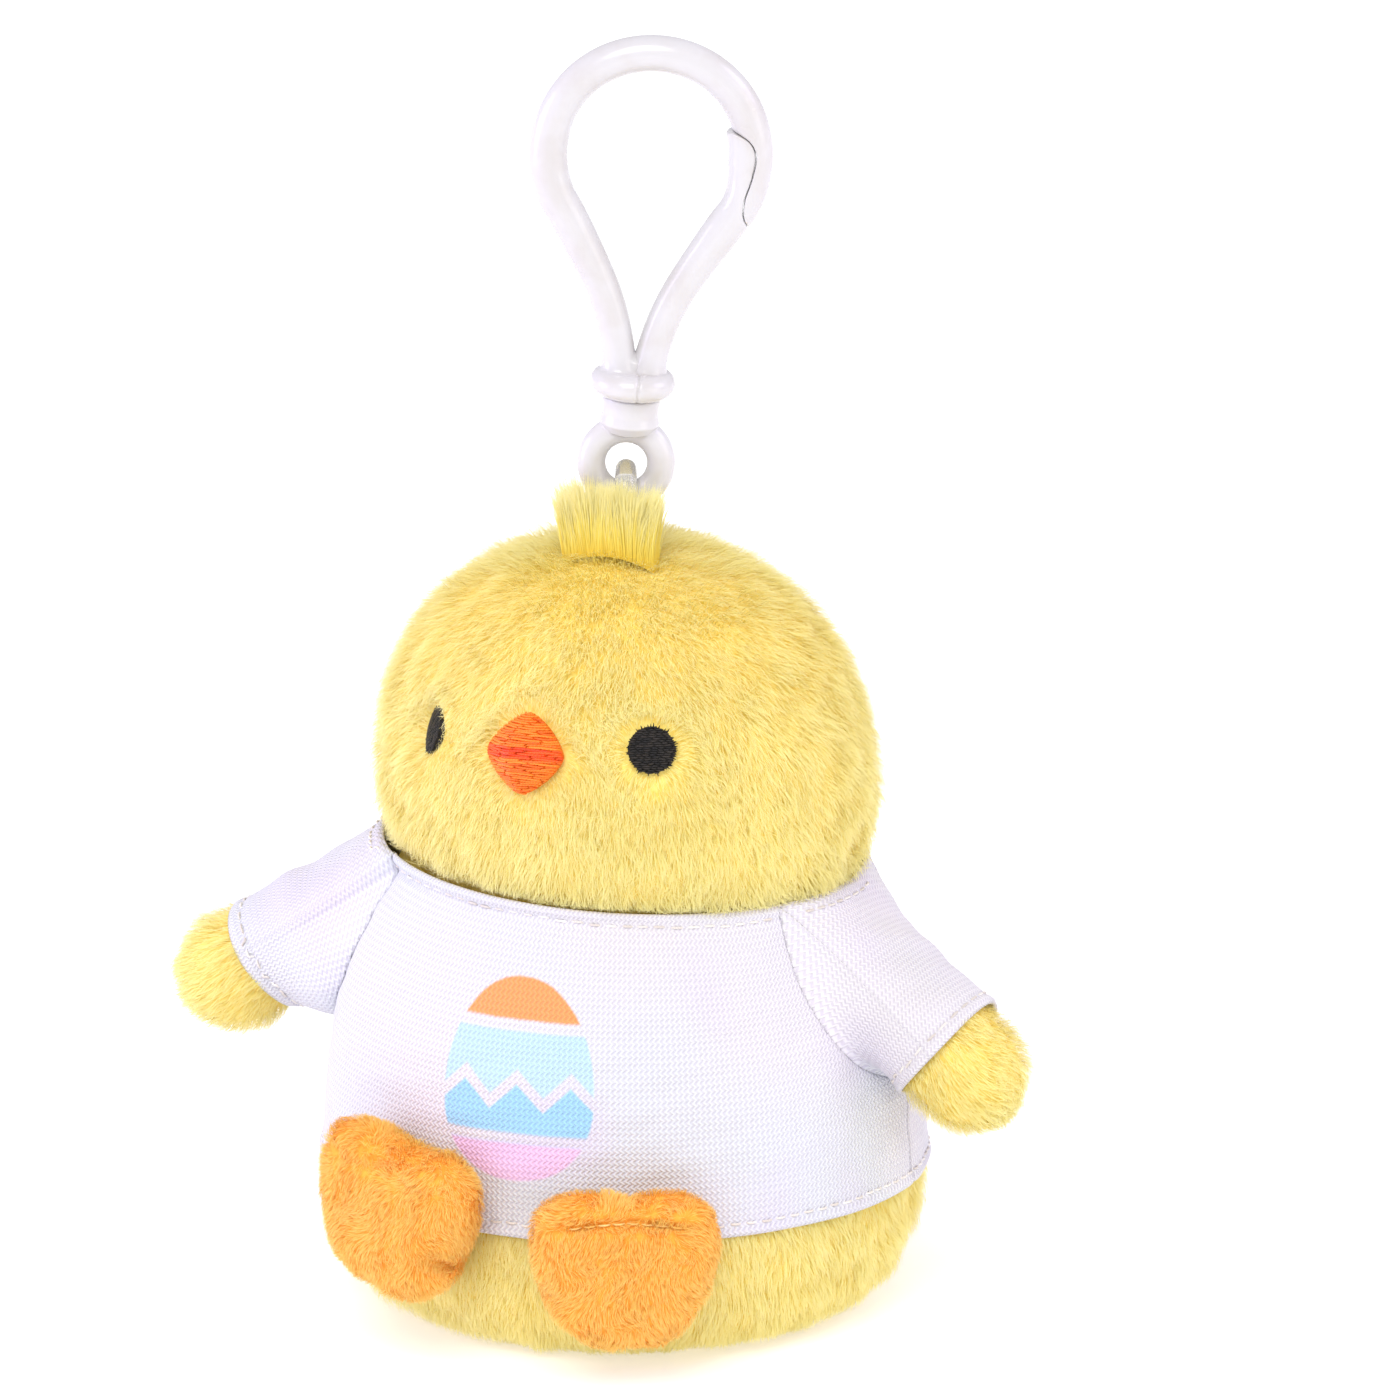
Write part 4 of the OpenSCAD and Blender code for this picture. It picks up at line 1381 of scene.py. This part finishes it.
def stitch_row(name, path, outward, seed, stitch=1.5, gap=0.75, thread=0.17):
    """Topstitching along a path: each stitch comes up out of the cloth and goes back in."""
    rng = np.random.default_rng(seed)
    step = np.append(0, np.cumsum(np.linalg.norm(np.diff(path, axis=0), axis=1)))
    parts, chances = [], []
    at = 0.0
    while at + stitch < step[-1]:
        run = stitch * rng.uniform(0.85, 1.1)
        t = np.linspace(0, 1, 6)
        place = at + run * t
        line = np.stack([np.interp(place, step, path[:, k]) for k in range(3)], -1)
        normal = unit(np.stack([np.interp(place, step, outward[:, k]) for k in range(3)], -1))
        lift = -0.12 + 0.32 * np.sin(math.pi * t) ** 0.6
        drift = np.cross(unit(line[-1] - line[0]), normal) * rng.uniform(-0.12, 0.12)
        parts.append(tube(line + normal * lift[:, None] + drift, thread, 6))
        chances.append(rng.random())
        at += run + gap * rng.uniform(0.8, 1.2)
    return stitch_object(name, parts, chances, cream_thread)


def make_shirt():
    """Front and back panels, two raglan sleeves, and rows of topstitching at every edge."""
    front = make_shirt_panel(True)
    back = make_shirt_panel(False)
    sleeves = {side: make_sleeve(side) for side in (LEFT, RIGHT)}

    azimuth = np.linspace(-math.pi, math.pi, 700)
    hem = torso_point(azimuth, np.full(700, HEM_Z + BAND), 0.05)
    hem_row = stitch_row("hem_stitches", hem, unit(hem * [1, 1, 0]), 71)
    attach(hem_row, "plush", "shirt_thread", "hem_stitching")

    neck_z = NECKLINE_Z - BAND
    left, right = seam_azimuth(neck_z, LEFT), seam_azimuth(neck_z, RIGHT)
    spans = [np.linspace(right, left, 200), np.linspace(math.pi - left, math.pi - right, 200)]
    pieces = [torso_point(a, np.full(200, neck_z), 0.05) for a in spans]
    for side, (_, rows) in sleeves.items():
        over = rows[:, int(SLEEVE_COLUMNS * 0.78) + 3:-3]
        inner_edge = over[0]
        wanted = []
        for column in range(over.shape[1]):
            away = np.linalg.norm(over[:, column] - inner_edge[column], axis=1)
            at_row = int(np.argmin(np.abs(away - BAND)))
            wanted.append(over[at_row, column])
        pieces.append(np.array(wanted))
    parts = []
    for index, line in enumerate(pieces):
        outward = unit(line * [1, 1, 0]) + [0, 0, 0.35]
        parts.append(stitch_row(f"neck_stitches_{index + 1}", line, unit(outward), 72 + index))
    for index, row in enumerate(parts):
        attach(row, "plush", "shirt_thread", *(["neck_stitching"] if index == 0 else []))

    for side, (sleeve, rows) in sleeves.items():
        to_cuff = np.linalg.norm(rows - rows[-1], axis=2)
        pick = np.argmin(np.abs(to_cuff - BAND), axis=0)
        line = rows[pick, np.arange(rows.shape[1])]
        along, _, _ = arm_axes(side)
        centre_line = SHOULDER[side] + along * ((line - SHOULDER[side]) @ along)[:, None]
        row = stitch_row(f"cuff_stitches_{side_word(side)}", line, unit(line - centre_line), 80 + side)
        bend_with_arm(row)
        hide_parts(f"cuff_stitching_{side_word(side)}")


# ---- Tuft ----

TUFT_RAISE = 3.0         # the fan's roots start this far above the CAD tuft's foot


def make_tuft():
    """A fan of pile sewn upright in front of the clip's loop."""
    rng = np.random.default_rng(90)
    low, high = corners("tuft")
    base_z = low[2] + TUFT_RAISE
    middle_y = (low[1] + high[1]) / 2 + 1.0
    base_half = 6.4
    tall = high[2] + 1.6 - base_z
    count = 7000
    across = rng.uniform(-1, 1, count)
    depth = rng.uniform(-1.1, 1.1, count)
    roots = np.stack([across * base_half, middle_y + depth, base_z - 1.0 - 1.6 * across**2], -1)
    wisps = wave_vectors(np.stack([across * base_half, depth, 0 * depth], -1), 3.2, 91)
    lean = across * 1.9 + wisps[:, 0] * 0.9 + rng.normal(size=count) * 0.7
    reach = np.where(rng.random(count) < 0.3, rng.uniform(0.35, 0.7, count), rng.uniform(0.7, 1.0, count))
    height = (tall + 1.0 + 1.1 * np.abs(across) ** 3 + 0.5 * wisps[:, 1]) * reach
    forward = -0.7 + depth * 1.0 + wisps[:, 2] * 0.5 + rng.normal(size=count) * 0.5
    tips = roots + np.stack([lean * reach, forward * reach, height], -1)
    bends = roots + np.stack([lean * 0.1, forward * 0.1 - 0.5, height * 0.6], -1)
    tips = gathered(roots, tips, 1.0, 0.35)
    side = unit(np.stack([np.ones(count), rng.normal(size=count) * 0.5, np.zeros(count)], -1))
    facing = unit(np.stack([across * 0.6, -np.ones(count), np.full(count, 0.7)], -1))
    tuft = fibres("tuft_pile", roots, bends, tips, side, 0.1 * rng.uniform(0.7, 1.2, count), facing,
                  tuft_pile, rng, 5)
    attach(tuft, "plush", "tuft_plush", "tuft")


# ---- Clip ----

LOOP_R = 13.6
LOOP_RISE = 42.2
WIRE_R = 2.45
ARM_WIRE_R = 2.2
WIRE_SIDES = 48
BEND = math.radians(37.5)
ARM_END = math.radians(8)
ARM_END_Z = 13.0
COLLAR_LOW, COLLAR_HIGH, COLLAR_R = 8.6, 12.1, 5.7
NECK_R = 3.9
RING_CENTRE_R, RING_R = 4.65, 1.9
PARTING_GAP = 0.07       # half the gap between the hook and the gate
GATE_INWARDS = 0.9       # how far the gate's tip sits inside the loop
RING_LOWER = 0.8         # the ring's middle is this far below the origin
EYE_ABOVE_STRAND = 1.15

clip_up = unit(joint("clip_swivel")["axis"])
clip_back = unit(joint("clip_swing")["axis"])
clip_across = np.cross(clip_back, clip_up)
clip_origin = joint_point("clip_swing") + clip_up * EYE_ABOVE_STRAND


def clip_place(points):
    """Points given across, back and up from the centre of the clip's eye."""
    points = np.asarray(points, float)
    return (clip_origin + points[..., :1] * clip_across + points[..., 1:2] * clip_back
            + points[..., 2:] * clip_up)


def clip_route():
    """The clip's wire from the collar up its right side, over the loop and down its left side: places, the
    directions away from the loop's middle, and each place's angle around the loop."""
    bend_x, bend_z = LOOP_R * math.cos(BEND), LOOP_RISE - LOOP_R * math.sin(BEND)
    arm_r = (bend_z - ARM_END_Z) / (math.sin(BEND) - math.sin(ARM_END))
    arm_x, arm_z = bend_x + arm_r * math.cos(BEND), bend_z - arm_r * math.sin(BEND)
    turn = np.linspace(math.pi - ARM_END * 0.6, math.pi - BEND, 60)[:-1]
    arm = np.stack([arm_x + arm_r * np.cos(turn), 0 * turn, arm_z + arm_r * np.sin(turn)], -1)
    arm_out = np.stack([-np.cos(turn), 0 * turn, -np.sin(turn)], -1)
    around_loop = np.linspace(-BEND, math.pi + BEND, 260)
    loop_out = np.stack([np.cos(around_loop), 0 * around_loop, np.sin(around_loop)], -1)
    loop = loop_out * LOOP_R + [0, 0, LOOP_RISE]
    mirror = np.array([-1, 1, 1])
    path = np.vstack([arm, loop, (arm * mirror)[::-1]])
    out = np.vstack([arm_out, loop_out, (arm_out * mirror)[::-1]])
    path = path + out * [1, 0, 0] * (0.9 * np.exp(-(((path[:, 2:] - 29.5) / 7.0) ** 2)))
    before, after = np.full(len(arm), -BEND - 0.01), np.full(len(arm), math.pi + BEND + 0.01)
    angle = np.concatenate([before, around_loop, after])
    return path, out, angle


def wire_radius(path):
    """The wire is a little thicker around the loop, and flares where it joins the collar."""
    height = path[:, 2]
    thick = np.clip((height - 18) / 18, 0, 1)
    flare = 0.5 * np.exp(-np.clip(height - COLLAR_HIGH, 0, 99) / 0.7)
    fuller = 0.18 * np.exp(-(((height - 36) / 9) ** 2))
    return ARM_WIRE_R + (WIRE_R - ARM_WIRE_R) * thick**2 * (3 - 2 * thick) + flare + fuller


parting = smooth_curve([[-40, 2.6], [-35.5, 2.5], [-32, 1.2], [-28.5, 0.45], [-20, -0.15], [-6, 0.05],
                        [5, 0.25], [13, -0.45], [18.5, -1.75], [21.5, -2.5], [26, -2.6]], 8)


def make_clip():
    """The hook with its round collar, and the springy gate arm that closes the loop on an S-shaped line."""
    path, out, angle = clip_route()
    radius = wire_radius(path)
    line = np.interp(np.degrees(angle), parting[:, 0], parting[:, 1])
    far = np.full(len(path), 9.0)
    limits_of = {"hook": (line + PARTING_GAP, far), "gate": (-far, line - PARTING_GAP)}
    picks = {"hook": np.degrees(angle) > -35.0, "gate": np.degrees(angle) < 21.0}
    made = {}
    for which, chosen in picks.items():
        low, high = (limit[chosen] for limit in limits_of[which])
        low = np.minimum(low, radius[chosen] - 0.05)
        high = np.maximum(high, -radius[chosen] + 0.05)
        inwards = 0.0
        if which == "gate":
            inwards = GATE_INWARDS * np.clip((np.degrees(angle[chosen]) + 34) / 30, 0, 1) ** 1.5
            high = high + inwards
        spine = path[chosen] - out[chosen] * np.broadcast_to(inwards, (len(path[chosen]),))[:, None]
        made[which] = tube(spine, radius[chosen], WIRE_SIDES, out[chosen], (low, high))

    edge = (COLLAR_HIGH - COLLAR_LOW) / 2
    turn = np.linspace(-math.pi / 2, math.pi / 2, 17)
    rim_z = (COLLAR_LOW + COLLAR_HIGH) / 2 + edge * np.sin(turn)
    rim = np.stack([COLLAR_R - edge + edge * np.cos(turn), rim_z], -1)
    collar_points, collar_faces = lathe(np.vstack([
        [[0, COLLAR_LOW]], [[1.5, COLLAR_LOW]], rim, [[1.5, COLLAR_HIGH]], [[0, COLLAR_HIGH]],
    ]), 96)
    web = tube(np.array([[0, 0, COLLAR_HIGH - 1], [0, 0, COLLAR_HIGH + 1.4], [0, 0, COLLAR_HIGH + 2.3]]),
               np.array([2.3, 1.8, 0.5]), 24, np.tile([1.0, 0, 0], (3, 1)))
    points, faces = joined([made["hook"], (collar_points, collar_faces), web])
    hook = mesh_object("hook", clip_place(points), faces, clip_plastic)
    face_outwards(hook)
    hook = remeshed(hook, 0.17)
    smoothed(hook, 6, 0.5)
    local = points_of(hook) - clip_origin
    x, up = local @ clip_across, local @ clip_up
    crease = np.exp(-(((x - 0.7) / 0.22) ** 2)) * np.exp(-(((up - 10.6) / 1.9) ** 4))
    points = points_of(hook) - normals_of(hook) * (0.32 * crease)[:, None]
    move_points(hook, points)
    attach(hook, "hook", "clip", "hook_body")

    points, faces = made["gate"]
    gate = mesh_object("gate", clip_place(points), faces, clip_plastic)
    face_outwards(gate)
    gate = remeshed(gate, 0.17)
    smoothed(gate, 5, 0.5)
    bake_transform(gate)
    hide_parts("gate_arm")


def make_swivel_eye():
    """The round eye below the collar, with its neck flowing into the ring."""
    turn = np.linspace(0, 2 * math.pi, 97)[:-1]
    ring_out = np.stack([np.cos(turn), 0 * turn, np.sin(turn)], -1)
    ring_path = ring_out * RING_CENTRE_R - [0, 0, RING_LOWER]
    sides = 32
    around_wire = np.arange(sides) * 2 * math.pi / sides
    rings = (ring_path[:, None] + RING_R * np.cos(around_wire)[None, :, None] * ring_out[:, None]
             + RING_R * np.sin(around_wire)[None, :, None] * np.array([0, 1.0, 0]))
    faces = grid_faces(len(turn), sides, wrap=True)
    last = (len(turn) - 1) * sides
    for j in range(sides):
        k = (j + 1) % sides
        faces.append([last + j, last + k, k, j])
    ring = (rings.reshape(-1, 3), faces)
    top = COLLAR_LOW - 0.1
    waist = [
        [0, 3.0], [1.6, 3.0], [3.2, 3.6], [NECK_R + 0.15, 4.8], [NECK_R - 0.15, 6.0],
        [NECK_R - 0.1, 7.2], [NECK_R + 0.05, top - 0.15], [NECK_R - 0.2, top], [1.5, top], [0, top],
    ]
    neck = lathe(waist, 64)
    points, faces = joined([ring, neck])
    eye = mesh_object("swivel", clip_place(points), faces, clip_plastic)
    eye = remeshed(eye, 0.14)
    smoothed(eye, 8, 0.5)
    attach(eye, "eye", "clip", "swivel_eye")


def make_tether():
    """The clear strand that comes out of the crown seam, over the clip's eye and back."""
    high = corners("tether_loop")[1]
    strand_r = 1.45
    arch_top = high[2] - strand_r - RING_LOWER
    arch_r = 3.5
    turn = np.linspace(math.radians(-25), math.radians(205), 40)
    arch = np.stack([arch_r * np.cos(turn), arch_top - arch_r + arch_r * np.sin(turn)], -1)
    route = smooth_curve([[0.7, CROWN_Z - 2.5], [1.3, CROWN_Z + 1.5], [2.2, CROWN_Z + 4.3], *arch[::6],
                          [-2.2, CROWN_Z + 4.3], [-1.3, CROWN_Z + 1.5], [-0.7, CROWN_Z - 2.5]], 6)
    across = unit(clip_back * [1, 1, 0])
    path = route[:, :1] * across + route[:, 1:] * np.array([0, 0, 1.0])
    points, faces = tube(path, strand_r, 24)
    tether = mesh_object("tether", points, faces, clear_strand)
    face_outwards(tether)
    attach(tether, "tether", "tether", "tether_loop")


# ---- Camera, lights and floor ----

VIEW_ELEVATION = math.radians(17.0)
VIEW_DISTANCE = 4.0
VIEW_TARGET = Vector((0, 0, 0.080))
PICTURE_W = 1400
SCALE = 7.5              # picture widths are 1400, and one millimetre at the target spans this many
TARGET_ACROSS, TARGET_DOWN = 626, 715
AREA_LIGHT_AWAY = 0.6


def make_camera():
    data = bpy.data.cameras.new("camera")
    camera = bpy.data.objects.new("camera", data)
    bpy.context.scene.collection.objects.link(camera)
    back = sight(VIEW_AZIMUTH, VIEW_ELEVATION)
    camera.location = VIEW_TARGET + back * VIEW_DISTANCE
    camera.rotation_euler = back.to_track_quat("Z", "Y").to_euler()
    data.sensor_width = 36.0
    data.lens = SCALE * VIEW_DISTANCE / MM / PICTURE_W * data.sensor_width
    data.shift_x = (PICTURE_W / 2 - TARGET_ACROSS) / PICTURE_W
    data.shift_y = (TARGET_DOWN - PICTURE_W / 2) / PICTURE_W
    data.clip_start = 0.05
    bpy.context.scene.camera = camera


def add_light(name, kind, azimuth, elevation, distance, power, colour):
    """A lamp that shines at the chick's middle from an azimuth and elevation in degrees."""
    data = bpy.data.lights.new(name, kind)
    data.energy = power
    data.color = colour
    light = bpy.data.objects.new(name, data)
    bpy.context.scene.collection.objects.link(light)
    back = sight(math.radians(azimuth), math.radians(elevation))
    light.location = Vector((0, 0, 0.07)) + back * distance
    light.rotation_euler = back.to_track_quat("Z", "Y").to_euler()
    return data


def area_light(name, azimuth, elevation, size, power, colour):
    data = add_light(name, "AREA", azimuth, elevation, AREA_LIGHT_AWAY, power, colour)
    data.shape = "DISK"
    data.size = size


def make_lights():
    """An even white room, a broad soft key from the front, and faint lavender and warm light at the sides."""
    world = bpy.data.worlds.new("studio")
    world.use_nodes = True
    world.node_tree.nodes["Background"].inputs[0].default_value = (0.97, 0.98, 1.0, 1.0)
    world.node_tree.nodes["Background"].inputs[1].default_value = 0.68
    bpy.context.scene.world = world
    key = add_light("key", "SUN", 8, 48, 1.0, 1.7, (1.0, 0.98, 0.95))
    key.angle = math.radians(35)
    area_light("lavender_side", -65, 12, 0.35, 1.6, (0.74, 0.64, 1.0))
    area_light("lavender_edge", 110, 35, 0.3, 0.8, (0.74, 0.64, 1.0))
    area_light("warm_side", 80, 15, 0.35, 0.5, (1.0, 0.93, 0.84))
    bpy.context.scene.view_settings.view_transform = "Standard"


def make_floor():
    """A softly glowing white table, so that only the deepest part of the shadow shows."""
    m = Material("floor", (0.8, 0.8, 0.8, 1.0), 0.9, Specular_IOR_Level=0.1, Emission_Strength=0.42,
                 Emission_Color=(1.0, 1.0, 1.0, 1.0))
    m.colour(m.mix(m.range(m.noise(8.0), 0.3, 0.7), (0.8, 0.8, 0.8, 1.0), (0.82, 0.82, 0.82, 1.0)))
    reach = 3000.0
    plane = [[-reach, -reach, 0], [reach, -reach, 0], [reach, reach, 0], [-reach, reach, 0]]
    floor = mesh_object("floor", plane, [[0, 1, 2, 3]], m.material, smooth=False)


# ---- The object ----

make_camera()
make_lights()
make_floor()
make_clip()
make_swivel_eye()
make_tether()
make_head()
make_body()
finish_base_panel()
for side in (LEFT, RIGHT):
    make_arm(side)
    make_foot(side)
    make_eye(side)
make_beak()
make_shirt()
make_tuft()
